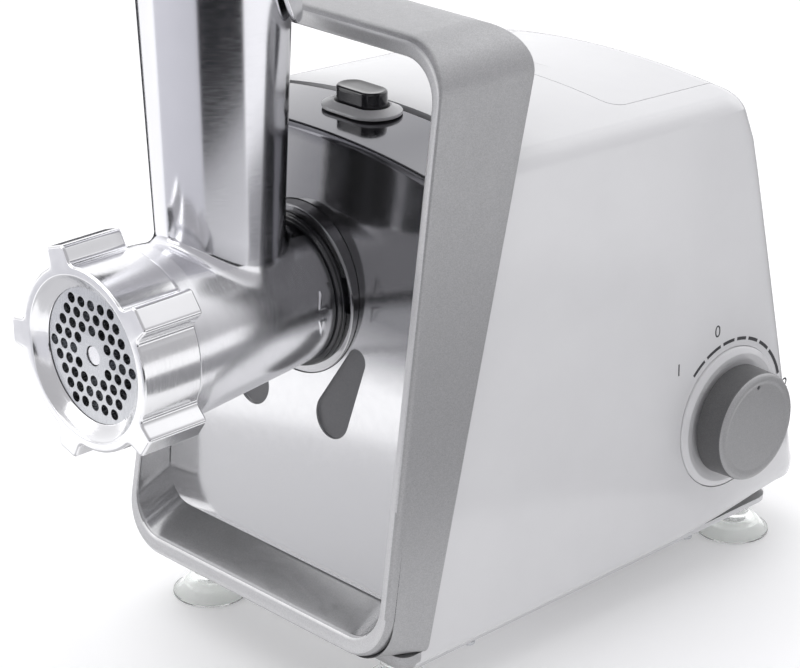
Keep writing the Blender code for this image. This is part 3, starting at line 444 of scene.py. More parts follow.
def crowded(length, radius, coarse):
    """Shares from 0 to 1 that crowd together where the ends are rounded."""
    steps = 9
    end = [radius * (1 - tan(pi / 4 * (1 - k / steps))) for k in range(steps + 1)]
    middle = list(np.linspace(radius, length - radius, coarse + 1)[1:-1])
    return np.array(end + middle + [length - d for d in reversed(end)]) / length


def body_solid(name, inset, floor):
    """The housing's closed volume: a box grid drawn onto the body's field."""
    shares = (crowded(0.17, 0.016, 16), crowded(0.27, 0.02, 14), crowded(0.23, 0.018, 12))
    counts = [len(share) for share in shares]
    index, points = {}, []
    for i, a in enumerate(shares[0]):
        for j, b in enumerate(shares[1]):
            for k, c in enumerate(shares[2]):
                if i in (0, counts[0] - 1) or j in (0, counts[1] - 1) or k in (0, counts[2] - 1):
                    index[i, j, k] = len(points)
                    z = floor + (0.245 - floor) * c
                    rear = float(body_rear(np.array(z)))
                    points.append(((2 * a - 1) * body_half(z), CHIN_Y + (rear - CHIN_Y) * b, z))
    points = projected(points, lambda p: body_field(p, floor), -inset)
    faces = []
    for axis in range(3):
        others = [n for n in range(3) if n != axis]
        for end in (0, counts[axis] - 1):
            for u in range(counts[others[0]] - 1):
                for v in range(counts[others[1]] - 1):
                    corners = []
                    for du, dv in ((0, 0), (1, 0), (1, 1), (0, 1)):
                        place = [0, 0, 0]
                        place[axis], place[others[0]], place[others[1]] = end, u + du, v + dv
                        corners.append(index[tuple(place)])
                    faces.append(corners)
    return piece(name, points, faces, 60)


def lid_prism(half, front, bottom):
    near, far = behind(front), behind(0.26)
    corners = [(-half, near, 0.008), (half, near, 0.008), (half, far, 0), (-half, far, 0)]
    return prism("lid_prism", rounded(corners, 10), bottom, 0.28, "XY")


def tube_cut(radius, low, high, centre, axis, steps=64):
    """Plain cylinder used to bore a hole."""
    return turned("bore", [(0, low), (radius, low), (radius, high), (0, high)], centre, axis, steps)


def build_housing():
    housing = body_solid("housing_shell", 0, BODY_BOTTOM)
    chin_top = BEZEL_BOTTOM - GAP
    cavity = body_solid("cavity", WALL, -0.01)
    low, high = (-0.1, behind(-0.03), chin_top - WALL), (0.1, bezel_rear(0.029) + WALL, 0.029)
    cut(cavity, block("chin_wall", low, high, 0))
    wedge = [
        (behind(-0.05), chin_top), (bezel_rear(chin_top) + GAP, chin_top),
        (bezel_rear(0.3) + GAP, 0.3), (behind(-0.05), 0.3),
    ]
    seat_x = body_half(KNOB_Z) - 0.0012
    collar_radius = (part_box("knob_collar")[1].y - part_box("knob_collar")[0].y) / 2
    knob_centre = (KNOB_Y, KNOB_Z)
    cut(
        housing,
        cavity,
        prism("bezel_space", wedge, -0.1, 0.1, "YZ"),
        lid_prism(LID_HALF + LID_CLEARANCE, LID_FRONT - LID_CLEARANCE, HINGE_Z - 0.0032),
        tube_cut(collar_radius + GAP, seat_x, 0.1, knob_centre, "X", 128),
        tube_cut(0.0045, 0.06, 0.1, knob_centre, "X"),
        tube_cut(0.0074, behind(0.24), behind(0.28), (0, 0.05), "Y"),
    )
    lugs = []
    for side in (-1, 1):
        low_x, high_x = sorted((side * (LID_HALF + LID_CLEARANCE), side * (LID_HALF + 0.005)))
        low, high = (low_x, HINGE_Y - 0.0035, HINGE_Z - 0.006), (high_x, HINGE_Y + 0.001, HINGE_Z + 0.0035)
        lugs.append(block("lug", low, high, 0))
    bosses = []
    for tag in CORNERS:
        x, y, _z = centre_of("base_screw_" + tag)
        side = 1 if x > 0 else -1
        low_x, high_x = sorted((x - side * 0.0045, side * (BODY_HALF - 0.0042)))
        bosses.append(block("boss", (low_x, y - 0.005, 0.0205), (high_x, y + 0.005, 0.032), 0))
    join(housing, *lugs, *bosses)
    holes = []
    for low_x, high_x in ((LID_HALF, LID_HALF + 0.004), (-LID_HALF - 0.004, -LID_HALF)):
        holes.append(tube_cut(HINGE_HOLE, low_x, high_x, (HINGE_Y, HINGE_Z), "X", 24))
    for tag in CORNERS:
        holes.append(tube_cut(0.0016, 0.01, 0.028, centre_of("base_screw_" + tag)[:2], "Z", 24))
    cut(housing, *holes)
    soften(housing, 0.0004)
    put(housing, "chassis", "white_abs", WHITE, "main_housing")
    housing.data.materials.append(SILVER)
    for face in housing.data.polygons:
        if face.center.z < BEZEL_BOTTOM and face.center.y < bezel_rear(face.center.z) - 0.001:
            face.material_index = 1


def build_lid():
    lid = body_solid("storage_lid_shell", 0, BODY_BOTTOM)
    keep(lid, lid_prism(LID_HALF, LID_FRONT, HINGE_Z))
    cut(lid, body_solid("lid_inside", WALL, -0.01))
    join(lid, tube_cut(0.0029, -0.058, 0.058, (HINGE_Y, HINGE_Z), "X", 40))
    notch = prism("notch", stadium(0.0, behind(LID_FRONT + 0.01), 0.02, 0.009), 0.2425, 0.262, "XY")
    cut(lid, tube_cut(HINGE_HOLE, -0.065, 0.065, (HINGE_Y, HINGE_Z), "X", 24), notch)
    soften(lid, 0.0004)
    put(lid, "lid", "white_abs", WHITE, "storage_lid")


# ---------------------------------------------------------------- bezel with its handle

def bezel_outline(low, high, bottom, top, low_round, high_round):
    corners = [(-low, bottom, low_round), (low, bottom, low_round)]
    corners += [(high, top, high_round), (-high, top, high_round)]
    return np.array(rounded(corners, 14, 14))


def bezel_opening(y):
    """Inner front-view outline of the bezel; its floor climbs towards the rear."""
    floor = 0.0385 + 0.38 * (y - behind(-0.0262))
    low = bezel_half(floor) - BEZEL_LIP
    high = bezel_half(HANDLE_UNDERSIDE) - BEZEL_LIP
    return bezel_outline(low, high, floor, HANDLE_UNDERSIDE, 0.018, 0.018)


def handle_rear(z):
    """Y of the bezel's rear face at height z, with its top rear edge rounded."""
    lean = hypot(1, BEZEL_LEAN)
    centre_z = BEZEL_TOP - HANDLE_ROUND
    centre_y = bezel_rear(centre_z) - HANDLE_ROUND * lean
    if z < centre_z - HANDLE_ROUND * BEZEL_LEAN / lean:
        return bezel_rear(z)
    return centre_y + sqrt(max(HANDLE_ROUND ** 2 - (z - centre_z) ** 2, 0))


def bezel_section():
    """Stations round the bezel's wall: which face, how deep into the wall, from which end and how far."""
    quarter = [pi / 2 * k / 6 for k in range(7)]
    section = [("outer", 1 - sin(a), "rear", 1 - cos(a)) for a in quarter[::3]]
    section += [("outer", 0.0, share, 0.0) for share in (0.15, 0.3, 0.5, 0.7, 0.85)]
    section += [("outer", 1 - cos(a), "front", 1 - sin(a)) for a in quarter]
    section += [("middle", share, "front", 0.0) for share in (0.25, 0.5, 0.75)]
    section += [("inner", 1 - sin(a), "front", 1 - cos(a)) for a in quarter]
    section += [("inner", 0.0, share, 0.0) for share in (0.85, 0.7, 0.5, 0.3, 0.15)]
    section += [("inner", 1 - cos(a), "rear", 1 - sin(a)) for a in quarter[::3]]
    section += [("middle", share, "rear", 0.0) for share in (0.85, 0.7, 0.5, 0.3, 0.15)]
    return section


def build_bezel():
    low, high = bezel_half(BEZEL_BOTTOM), bezel_half(BEZEL_TOP)
    front_outline = bezel_outline(low, high, BEZEL_BOTTOM, BEZEL_TOP, 0.022, 0.024)
    rear_outline = bezel_outline(low, high, BEZEL_BOTTOM, BEZEL_TOP, 0.003, 0.024)
    lip, inner_round, rear_round = 0.0046, 0.0015, 0.0005
    rings = []
    for wall, depth, end, distance in bezel_section():
        forward = {"front": 1.0, "rear": 0.0}.get(end, end)
        outer = rear_outline + (front_outline - rear_outline) * forward
        ring = []
        for number, (x, z) in enumerate(outer):
            px, pz, y = x, z, bezel_front(z)
            for _ in range(4):
                inner = bezel_opening(y)[number]
                span = max(hypot(inner[0] - x, inner[1] - z), 1e-6)
                front_round = max(0.0016, span - lip)
                edge = front_round if end == "front" else rear_round
                far = inner_round if end == "front" else rear_round
                if wall == "middle":
                    share = edge / span + (1 - (edge + far) / span) * depth
                elif wall == "inner":
                    share, edge = 1 - depth * far / span, far
                else:
                    share = depth * edge / span
                px, pz = x + (inner[0] - x) * share, z + (inner[1] - z) * share
                front, rear = bezel_front(pz), handle_rear(pz)
                if end == "front":
                    y = front + distance * edge
                elif end == "rear":
                    y = rear - distance * edge
                else:
                    y = rear + (front - rear) * end
            ring.append((px, y, pz))
        rings.append(ring)
    bezel = skin("bezel_frame", rings, along=True, sharp=40)
    put(level_shading(bezel), "chassis", "silver_paint", SILVER, "handle_bezel")
    bezel.data.materials.append(LIP_SILVER_PAINTED_LIGHT)
    bezel.data.materials.append(INNER_SILVER_PAINTED_SHADE)
    middle_z = (BEZEL_BOTTOM + BEZEL_TOP) / 2
    for face in bezel.data.polygons:
        centre, normal = face.center, face.normal
        inwards = -centre.x * normal.x / BEZEL_HALF + (middle_z - centre.z) * normal.z / middle_z
        # Front-facing lip faces take a lighter copy of the silver paint: painted light where the front light
        # falls.
        if face.normal.y < -0.8:
            face.material_index = 1
        # Faces turned into the opening take a glossier, slightly darker copy: the gloss is real, the darker
        # colour is painted shade.
        elif inwards > 0.3:
            face.material_index = 2


# ---------------------------------------------------------------- front cover

def petal_outline(side, low_radius, high_radius, steps=16):
    """Tear-drop below the drive axis, wide at the bottom and leaning outwards."""
    low_x, low_z = side * 0.026, AXIS_Z - 0.0525
    high_x, high_z = side * 0.039, AXIS_Z - 0.0236
    lean = atan2(high_z - low_z, high_x - low_x)
    taper = acos(0.0048 / hypot(high_x - low_x, high_z - low_z))
    outline = []
    for k in range(steps + 1):
        angle = lean - taper + 2 * taper * k / steps
        outline.append((high_x + high_radius * cos(angle), high_z + high_radius * sin(angle)))
    for k in range(2 * steps + 1):
        angle = lean + taper + 2 * (pi - taper) * k / (2 * steps)
        outline.append((low_x + low_radius * cos(angle), low_z + low_radius * sin(angle)))
    return outline


def petal_cutter(side):
    """Shallow recess with a crisp rim, a rounded foot and a satin floor."""
    rings = []
    for shrink, depth in ((0, -0.003), (0, 0.0009), (0.0002, 0.0012), (0.0006, 0.0014), (0.0012, 0.0014)):
        outline = petal_outline(side, 0.0103 - shrink, 0.0055 - shrink)
        rings.append([(x, panel_front(z) + depth, z) for x, z in outline])
    return skin("petal", rings, caps=True)


def build_front_cover():
    floor = 0.0476
    columns = np.linspace(-1, 1, 61)
    shoulder_z = 0.24
    rear = bezel_rear(deck_height(DECK_HALF, behind(0.055)) - WALL) - GAP
    rows = []
    for share in columns:
        x = share * cover_half(shoulder_z)
        edge_z = deck_height(x, panel_front(0.245))
        edge_y = panel_front(edge_z)
        corners = [(panel_front(0.04), 0.04, 0), (edge_y, edge_z, 0.0032), (rear, deck_height(x, rear), 0)]
        line = rounded(corners, 10, 12)
        rows.append([(share * cover_half(min(z, shoulder_z)), y, z) for y, z in line])
    cover = skin("front_fascia", rows, around=False)
    shell = cover.modifiers.new("wall", "SOLIDIFY")
    shell.thickness = WALL
    shell.offset = -1
    shell.use_even_offset = True
    bake(cover)
    low = cover_half(floor)
    corners = [(-low, floor, 0.018), (low, floor, 0.018), (0.09, 0.12, 0)]
    corners += [(0.09, 0.28, 0), (-0.09, 0.28, 0), (-0.09, 0.12, 0)]
    keep(cover, prism("cover_outline", rounded(corners, 14), behind(-0.03), behind(0.09), "XZ"))
    cut(cover, tube_cut(0.0388, behind(-0.03), behind(0.03), AXIS, "Y", 160))
    cut(cover, petal_cutter(-1), petal_cutter(1))
    cut(cover, prism("collar_hole", stadium(0, BUTTON_Y, 0.0346, 0.0206), 0.22, 0.26, "XY"))
    soften(cover, 0.00035, 2, 45)
    # The panel finish carries painted shade: darker upwards.
    put(cover, "chassis", "silver_panel", PANEL_PAINTED_SHADE, "front_cover")
    cover.data.materials.append(PETAL_PAINTED_SHADE)
    # The petal floors take a dark grey: painted shade standing in for the dark reflection in the recesses.
    for face in cover.data.polygons:
        x, y, z = face.center
        sunk = 0.001 < y - panel_front(z) < 0.0018 and face.normal.y < -0.5
        if sunk and abs(abs(x) - 0.031) < 0.017 and abs(z - AXIS_Z + 0.042) < 0.026:
            face.material_index = 1


def build_socket():
    corners = profile_behind(
        (0.024, 0.0538, 0), (0.024, 0.024, 0), (0.0385, 0.024, 0), (0.0385, 0.0028, 0.001),
        (0.0334, 0.0028, 0.0005), (0.0334, 0.0085, 0), (0.0366, 0.0085, 0), (0.0366, 0.0136, 0),
        (0.0334, 0.0136, 0), (0.0334, 0.0206, 0), (0.0154, 0.0206, 0), (0.0154, 0.024, 0),
        (0.0115, 0.024, 0), (0.0115, 0.0538, 0),
    )
    socket = turned("socket_collar", rounded(corners, 6), AXIS, "Y", 144, closed=True)
    entries = []
    for angle in spread(3, radians(130)):
        outline = [(0.03, -0.008), (0.0366, -0.008), (0.0366, 0.008), (0.03, 0.008)]
        outline = [(u, AXIS_Z + v) for u, v in swung(outline, angle)]
        entries.append(prism("entry", outline, behind(-0.0014), behind(0.0106), "XZ"))
    entries.append(block("bolt_slot", (-0.0043, behind(0.009), 0.2069), (0.0043, behind(0.03), 0.2098), 0))
    cut(socket, *entries)
    put(level_shading(socket), "chassis", "silver_panel", PANEL_PAINTED_SHADE, "drive_socket")


def build_bayonet():
    corners = profile_behind(
        (0.033, 0.018, 0.0005), (0.033, 0.0025, 0.0004), (0.0348, 0.0025, 0.0005),
        (0.0348, 0.0012, 0.0003), (0.0341, 0.0009, 0.0002), (0.0341, 0.0005, 0.0002),
        (0.0346, 0.0002, 0.0002), (0.0342, -0.0005, 0.0003), (0.0304, -0.0005, 0),
        (0.0304, 0.018, 0),
    )
    ring = turned("bayonet_seal", rounded(corners, 4), AXIS, "Y", 160, closed=True)
    lugs = []
    for angle in spread(3, pi / 2):
        angles = [angle + radians(22) * (k / 10 - 0.5) for k in range(11)]
        outline = [(0.0362 * cos(a), AXIS_Z + 0.0362 * sin(a)) for a in angles]
        outline += [(0.0318 * cos(a), AXIS_Z + 0.0318 * sin(a)) for a in reversed(angles)]
        lugs.append(prism("lug", outline, behind(0.009), behind(0.013), "XZ"))
    join(ring, *lugs)
    cut(ring, block("lock_notch", (-0.0044, behind(0.011), 0.2068), (0.0044, behind(0.014), 0.215), 0))
    put(level_shading(ring), "bayonet", "black_plastic", BLACK, "bayonet_ring")


# ---------------------------------------------------------------- grinding head

FILLET = 0.0042


def head_field(points):
    x, y, z = points[:, 0], points[:, 1], points[:, 2]
    barrel = np.hypot(x, z - AXIS_Z) - barrel_radius(y)
    hopper = np.hypot(x, y - HOPPER_Y) - hopper_radius(z)
    return round_min(barrel, hopper, FILLET)


def barrel_top(x, y):
    return AXIS_Z + sqrt(max(float(barrel_radius(y)) ** 2 - x ** 2, 0))


def hopper_rings():
    """Hopper wall from its rim down to the fillet that runs out on the barrel."""
    count, wall_rows, fillet_rows = 168, 16, 9
    columns = []
    for angle in spread(count):
        def at(radius, z):
            return (radius * cos(angle), HOPPER_Y + radius * sin(angle), z)

        foot_z = 0.19
        for _ in range(20):
            radius = hopper_radius(foot_z) + FILLET
            x, y, _z = at(radius, foot_z)
            foot_z = barrel_top(x, y)
        start_z = foot_z
        for _ in range(20):
            x, y, z = at(hopper_radius(start_z), start_z)
            start_z += FILLET - (hypot(x, z - AXIS_Z) - float(barrel_radius(y)))
        foot = np.array(at(hopper_radius(foot_z) + FILLET, foot_z))
        start = np.array(at(hopper_radius(start_z), start_z))
        knee_z = (foot_z + start_z) / 2
        knee = np.array(at(hopper_radius(knee_z), min(start_z, foot_z + 0.002)))
        rim = 0.0007
        top_radius = hopper_radius(HOPPER_TOP_Z)
        column = [at(top_radius - 0.004, HOPPER_TOP_Z)]
        for a in (0, pi / 4, pi / 2):
            column.append(at(top_radius - rim * (1 - sin(a)), HOPPER_TOP_Z - rim * (1 - cos(a))))
        for k in range(1, wall_rows + 1):
            z = HOPPER_TOP_Z - rim + (start_z - HOPPER_TOP_Z + rim) * (k / wall_rows)
            column.append(at(hopper_radius(z), z))
        bend = []
        for k in range(1, fillet_rows + 1):
            t = k / fillet_rows
            bend.append((1 - t) ** 2 * start + 2 * t * (1 - t) * knee + t ** 2 * foot)
        bend = projected(bend, head_field)
        column += [tuple(point) for point in bend]
        inward = np.array((bend[-1][0], 0, bend[-1][2] - AXIS_Z))
        sunk = bend[-1] - inward / np.linalg.norm(inward) * 0.0015
        column.append(tuple(sunk))
        column.append((sunk[0] * 0.8, HOPPER_Y + (sunk[1] - HOPPER_Y) * 0.8, AXIS_Z + 0.004))
        columns.append(column)
    return np.array(columns).transpose(1, 0, 2)


def build_head():
    body = profile_behind(
        (0, 0.014, 0), (0.03, 0.014, 0.0006), (0.03, -0.0008, 0),
        (0.0322, -0.0008, 0.0007), (0.0385, -0.073, 0), (0.0385, -0.0816, 0.0006),
        (0.0363, -0.0816, 0), (0.0363, -0.1062, 0.0005), (0, -0.1062, 0),
    )
    head = turned("head_casting", rounded(body, 5, 6), AXIS, "Y", 160)
    join(head, skin("hopper", hopper_rings(), caps=True))
    bore = profile_behind((0, -0.014), (0.0262, -0.014), (0.03, -0.098))
    bore += profile_behind((0.0313, -0.098), (0.0313, -0.12), (0, -0.12))
    top = HOPPER_TOP_Z + 0.01
    throat = [(0, top), (bore_radius(top), top), (bore_radius(AXIS_Z), AXIS_Z + 0.004), (0, AXIS_Z + 0.004)]
    cut(
        head,
        turned("bore", bore, AXIS, "Y", 144),
        turned("throat", throat, (0, HOPPER_Y), "Z", 144),
        tube_cut(0.0128, behind(-0.03), behind(0.03), AXIS, "Y", 64),
        tube_cut(0.0268, behind(-0.004), behind(0.02), AXIS, "Y", 96),
    )
    smooth(head, 30)
    put(head, "head", "polished_aluminium", BARREL_METAL, "grinder_head")
    head.data.materials.append(HOPPER_METAL_PAINTED_SHADE)
    # The hopper's faces take the hopper finish, whose colour carries painted shade darkening it towards the
    # housing.
    for face in head.data.polygons:
        if face.center.z > AXIS_Z + 0.03 and hypot(face.center.x, face.center.y - HOPPER_Y) < 0.035:
            face.material_index = 1


def lock_mark(name, turn, station, flip):
    """Raised arrowhead on the barrel, bent to its round surface."""
    outline = rounded([(-0.0046, -0.0024, 0.0005), (0.0046, 0.0, 0.0004), (-0.0046, 0.0024, 0.0005)], 3, 3)
    rings = []
    for lift, scale in ((-0.0004, 1.0), (0.00035, 1.0), (0.0005, 0.88)):
        ring = []
        for u, v in outline:
            y = behind(station) + v * scale
            radius = float(barrel_radius(y)) + lift
            angle = turn + flip * u * scale / radius
            ring.append((radius * cos(angle), y, AXIS_Z + radius * sin(angle)))
        rings.append(ring)
    mark = skin(name, rings, caps=True)
    put(mark, "head", "polished_aluminium", BARREL_METAL)


def ring_outline():
    """Front-view outline of the screw ring: a circle with filleted grip tabs."""
    radius, tip, tabs = 0.04, 0.048, 5
    reach = 0.29   # half angle of the stretch that one tab takes
    points = []
    for angle in spread(tabs, radians(37)):
        base = sqrt(radius ** 2 - 0.0072 ** 2)
        corners = [(radius * cos(-reach), radius * sin(-reach), 0), (base, -0.0072, 0.0032)]
        corners += [(tip, -0.0058, 0.0024), (tip, 0.0058, 0.0024), (base, 0.0072, 0.0032)]
        corners += [(radius * cos(reach), radius * sin(reach), 0)]
        local = rounded(corners, 8, 3)
        between = [reach + (2 * pi / tabs - 2 * reach) * k / 14 for k in range(1, 14)]
        local += [(radius * cos(a), radius * sin(a)) for a in between]
        points += swung(local, angle)
    return np.array(points)


def inset(outline, distance):
    """Outline moved inwards along its normals."""
    along = np.roll(outline, -1, axis=0) - np.roll(outline, 1, axis=0)
    normal = np.stack([along[:, 1], -along[:, 0]], axis=1)
    normal /= np.linalg.norm(normal, axis=1)[:, None]
    return outline - normal * distance


def build_ring():
    outline = ring_outline()
    polar = np.arctan2(outline[:, 1], outline[:, 0])
    front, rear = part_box("screw_ring")[0].y, behind(-0.082)
    plate_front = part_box("grinding_plate")[0].y - GAP

    def level(points, y):
        return [(x, y, AXIS_Z + z) for x, z in points]

    def round_level(radius, y):
        return [(radius * cos(a), y, AXIS_Z + radius * sin(a)) for a in polar]

    rings = [round_level(0.0368, plate_front), round_level(0.0368, rear)]
    edge = 0.0009
    quarter = [pi / 2 * k / 4 for k in range(5)]
    rings += [level(inset(outline, edge * (1 - sin(a))), rear - edge * (1 - cos(a))) for a in quarter]
    rings += [level(outline, rear + (front - rear) * share) for share in (0.25, 0.5, 0.75)]
    edge = 0.0012
    rings += [level(inset(outline, edge * (1 - cos(a))), front + edge * (1 - sin(a))) for a in quarter]
    lip = [(0.0362, front), (0.0355, front + 0.0002), (0.035, front + 0.0008), (0.0335, front + 0.0022)]
    lip += [(0.0308, plate_front - 0.001), (0.0296, plate_front - 0.0004), (0.0293, plate_front)]
    rings += [round_level(radius, y) for radius, y in lip]
    ring = skin("ring_nut", rings, along=True, sharp=50)
    put(level_shading(ring), "ring", "polished_aluminium", RING_METAL, "screw_ring")


def build_plate():
    low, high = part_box("grinding_plate")
    radius = (high.x - low.x) / 2
    outlines = [circle(0, AXIS_Z, radius, 128), circle(0, AXIS_Z, 0.0044, 32)]
    pitch, hole = 0.0064, 0.0023
    for row in range(-5, 6):
        for column in range(-5, 6):
            x, z = pitch * (column + row / 2), pitch * row * sqrt(3) / 2
            if 0.008 < hypot(x, z) < radius - 0.005:
                outlines.append(circle(x, AXIS_Z + z, hole, 20))
    plate = slab("perforated_disc", outlines, low.y, high.y, "XZ", 0.0002)
    put(level_shading(plate), "plate", "steel", STEEL, "grinding_plate")


# ---------------------------------------------------------------- tray and pusher

def tray_outline(shrink, corner, angles):
    """Rounded rectangle of the tray, sampled where it crosses the given directions."""
    half_x = (TRAY_HIGH.x - TRAY_LOW.x) / 2 - shrink
    half_y = (TRAY_HIGH.y - TRAY_LOW.y) / 2 - shrink
    points = []
    for angle in angles:
        u, v = cos(angle), sin(angle)
        low, high = 0.0, 0.2
        for _ in range(40):
            middle = (low + high) / 2
            x, y = abs(u) * middle - half_x + corner, abs(v) * middle - half_y + corner
            outside = hypot(max(x, 0), max(y, 0)) + min(max(x, y), 0) - corner
            low, high = (low, middle) if outside > 0 else (middle, high)
        points.append(((low + high) / 2 * u, (low + high) / 2 * v))
    return points


def build_tray():
    angles = spread(192)
    sleeve = hopper_radius(HOPPER_TOP_Z) + 0.0004
    outer_sleeve = sleeve + 0.0022
    floor, rim = TRAY_FLOOR_Z, TRAY_HIGH.z
    throat = 0.0304

    def neck_bottom(angle):
        """The neck's lower edge is cut away towards the front."""
        facing = -sin(angle)
        share = min(max((facing + 0.55) / 0.75, 0), 1)
        return TRAY_LOW.z + (floor - 0.006 - TRAY_LOW.z) * share * share * (3 - 2 * share)

    def round_row(radius, height):
        row = []
        for a in angles:
            z = height(a) if callable(height) else height
            row.append((radius * cos(a), HOPPER_Y + radius * sin(a), z))
        return row

    def tray_row(shrink, z, mix=1.0, radius=outer_sleeve):
        corner = 0.05 - shrink
        row = []
        for a, (x, y) in zip(angles, tray_outline(shrink, corner, angles)):
            px, py = radius * cos(a), radius * sin(a)
            row.append((px + (x - px) * mix, HOPPER_Y + py + (y - py) * mix, z))
        return row

    rows = [
        round_row(sleeve, lambda a: neck_bottom(a) + 0.0004),
        round_row(sleeve + 0.0006, neck_bottom),
        round_row(outer_sleeve - 0.0006, neck_bottom),
        round_row(outer_sleeve, lambda a: neck_bottom(a) + 0.0006),
        round_row(outer_sleeve, lambda a: (neck_bottom(a) + floor) / 2),
        round_row(outer_sleeve, floor - 0.0015),
        round_row(outer_sleeve + 0.0006, floor - 0.0003),
        round_row(outer_sleeve + 0.002, floor),
    ]
    rows += [tray_row(0.02, floor, share) for share in (0.3, 0.6, 1.0)]
    rising = ((0.0155, 0.0006), (0.0125, 0.0022), (0.0108, 0.0048))
    turning = (
        (0.007, 0.0075), (0.0058, 0.0045), (0.0046, 0.0034), (0.0022, 0.0034), (0.0008, 0.0032),
        (0.0001, 0.0024), (0.0, 0.0014), (0.0004, 0.0005), (0.0014, 0.0), (0.0048, 0.0),
        (0.0062, 0.0006), (0.0072, 0.0022),
    )
    falling = ((0.0128, 0.0058), (0.0143, 0.0036), (0.017, 0.0024), (0.02, 0.0021))
    rows += [tray_row(shrink, floor + lift) for shrink, lift in rising]
    rows += [tray_row(shrink, rim - sink) for shrink, sink in turning]
    rows += [tray_row(shrink, floor + lift) for shrink, lift in falling]
    rows += [tray_row(0.02, floor + 0.002, share, throat) for share in (0.6, 0.3)]
    rows += [round_row(throat + 0.0012, floor + 0.002), round_row(throat + 0.0003, floor + 0.0016)]
    rows += [round_row(throat, floor + 0.001), round_row(throat, floor)]
    rows += [round_row(throat + 0.0004, floor), round_row(sleeve - 0.0004, floor)]
    rows += [round_row(sleeve, floor - 0.0005)]
    tray = skin("feed_tray", rows, along=True, sharp=50)
    put(level_shading(tray), "tray", "polished_aluminium", TRAY_METAL, "hopper_tray")


def build_pusher():
    top, bottom = PUSHER_HIGH.z, PUSHER_LOW.z
    shaft_top = bore_radius(HOPPER_TOP_Z) - 0.0006
    shaft_bottom = bore_radius(bottom) - 0.0006
    flange = (PUSHER_HIGH.x - PUSHER_LOW.x) / 2
    corners = [
        (0, bottom, 0), (shaft_bottom, bottom, 0.003), (shaft_top, HOPPER_TOP_Z, 0.004),
        (shaft_top, top - 0.006, 0.0015), (flange - 0.001, top - 0.004, 0.0008),
        (flange, top - 0.0022, 0.0008), (flange, top, 0.0012), (0.0282, top, 0.0012),
        (0.0268, top - 0.004, 0.004), (0.0267, HOPPER_TOP_Z, 0.005),
        (bore_radius(bottom) - 0.0032, bottom + 0.0022, 0.004), (0, bottom + 0.0022, 0),
    ]
    pusher = turned("food_pusher", rounded(corners, 6, 3), (0, HOPPER_Y), "Z", 144)
    put(level_shading(pusher), "pusher", "white_abs", WHITE, "pusher")


# ---------------------------------------------------------------- controls

def build_knob():
    centre = (KNOB_Y, KNOB_Z)
    base = body_half(KNOB_Z)
    low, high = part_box("knob_collar")
    outer = (high.y - low.y) / 2
    corners = [
        (outer, base - 0.0009, 0), (outer, base + 0.0006, 0.001), (outer - 0.003, high.x, 0.0012),
        (KNOB_HIGH.y - KNOB_Y + 0.0022, base + 0.0014, 0.001),
        (KNOB_HIGH.y - KNOB_Y - 0.001, base + 0.0002, 0), (0.005, base + 0.0002, 0),
        (0.005, base - 0.0009, 0),
    ]
    collar = turned("dial_collar", rounded(corners, 6, 2), centre, "X", 160, closed=True)
    put(level_shading(collar), "chassis", "white_abs", WHITE, "knob_collar")

    radius, face = (KNOB_HIGH.z - KNOB_LOW.z) / 2 - 0.0006, KNOB_HIGH.x
    corners = [
        (0, face - 0.004, 0), (0.0034, face - 0.004, 0), (0.0034, base + 0.0026, 0),
        (radius + 0.0005, base + 0.0026, 0.0005), (radius, face, 0.0024),
        (radius - 0.0034, face - 0.0001, 0.0018), (radius - 0.005, face - 0.0005, 0.003),
        (0, face - 0.0012, 0),
    ]
    knob = turned("speed_knob", rounded(corners, 8, 5), centre, "X", 160)
    dot = (KNOB_Y, KNOB_Z + 0.0204)
    dent = [(0, face - 0.0016), (0.0008, face - 0.0014), (0.00115, face - 0.0008)]
    dent += [(0.0013, face + 0.002), (0, face + 0.002)]
    cut(knob, turned("dent", dent, dot, "X", 32))
    put(level_shading(knob), "knob", "silver_paint", KNOB_GREY, "control_knob")
    knob.data.materials.append(SKIRT_PAINTED_SHADE)
    # The knob's side faces take a darker copy of its grey: painted shade on the side.
    for place in knob.data.polygons:
        if place.center.x < face - 0.0016 and abs(place.normal.x) < 0.5:
            place.material_index = 1
    spot = [(0, face - 0.00155), (0.00075, face - 0.00135), (0.00095, face - 0.0009), (0, face - 0.0008)]
    put(turned("knob_pointer_dot", spot, dot, "X", 32), "knob", "black_plastic", INK)


def side_point(y, z, lift):
    """Point on the housing's right side."""
    return body_half(z) + lift, y, z


def build_dial():
    """Printed arc of dashes round the knob, with its numbers, on the right side of the housing."""
    inner, outer = 0.038, 0.0396
    spans = [(-43, -29), (-26, -11), (-8, 4), (7, 17), (20, 31), (34, 46), (49, 73)]
    ink_low, ink_high = -0.00003, 0.00006
    for number, (first, last) in enumerate(spans):
        angles = [radians(first + (last - first) * k / 8) for k in range(9)]
        outline = [(KNOB_Y + outer * sin(a), KNOB_Z + outer * cos(a)) for a in angles]
        outline += [(KNOB_Y + inner * sin(a), KNOB_Z + inner * cos(a)) for a in reversed(angles)]
        rings = [[side_point(y, z, lift) for y, z in outline] for lift in (ink_low, ink_high)]
        put(skin("dial_dash_%d" % number, rings, caps=True), "chassis", "black_plastic", INK)
    for text, distance, z in (("1", 0.1675, 0.1105), ("0", 0.195, 0.122), ("2", 0.2475, 0.08)):
        curve = bpy.data.curves.new("dial_number", "FONT")
        curve.body = text
        curve.size = 0.0085
        curve.align_x, curve.align_y = "CENTER", "CENTER"
        curve.extrude = 0.00004
        y = behind(distance)
        label = filled("dial_number_" + text, curve, lambda p: side_point(y + p.x, z + p.y, 0.00001 + p.z))
        put(label, "chassis", "black_plastic", INK)


def stadium_rows(levels, y):
    """Stacked stadium outlines of (length, width, z)."""
    return [[(u, v, z) for u, v in stadium(0, y, length, width, 16)] for length, width, z in levels]


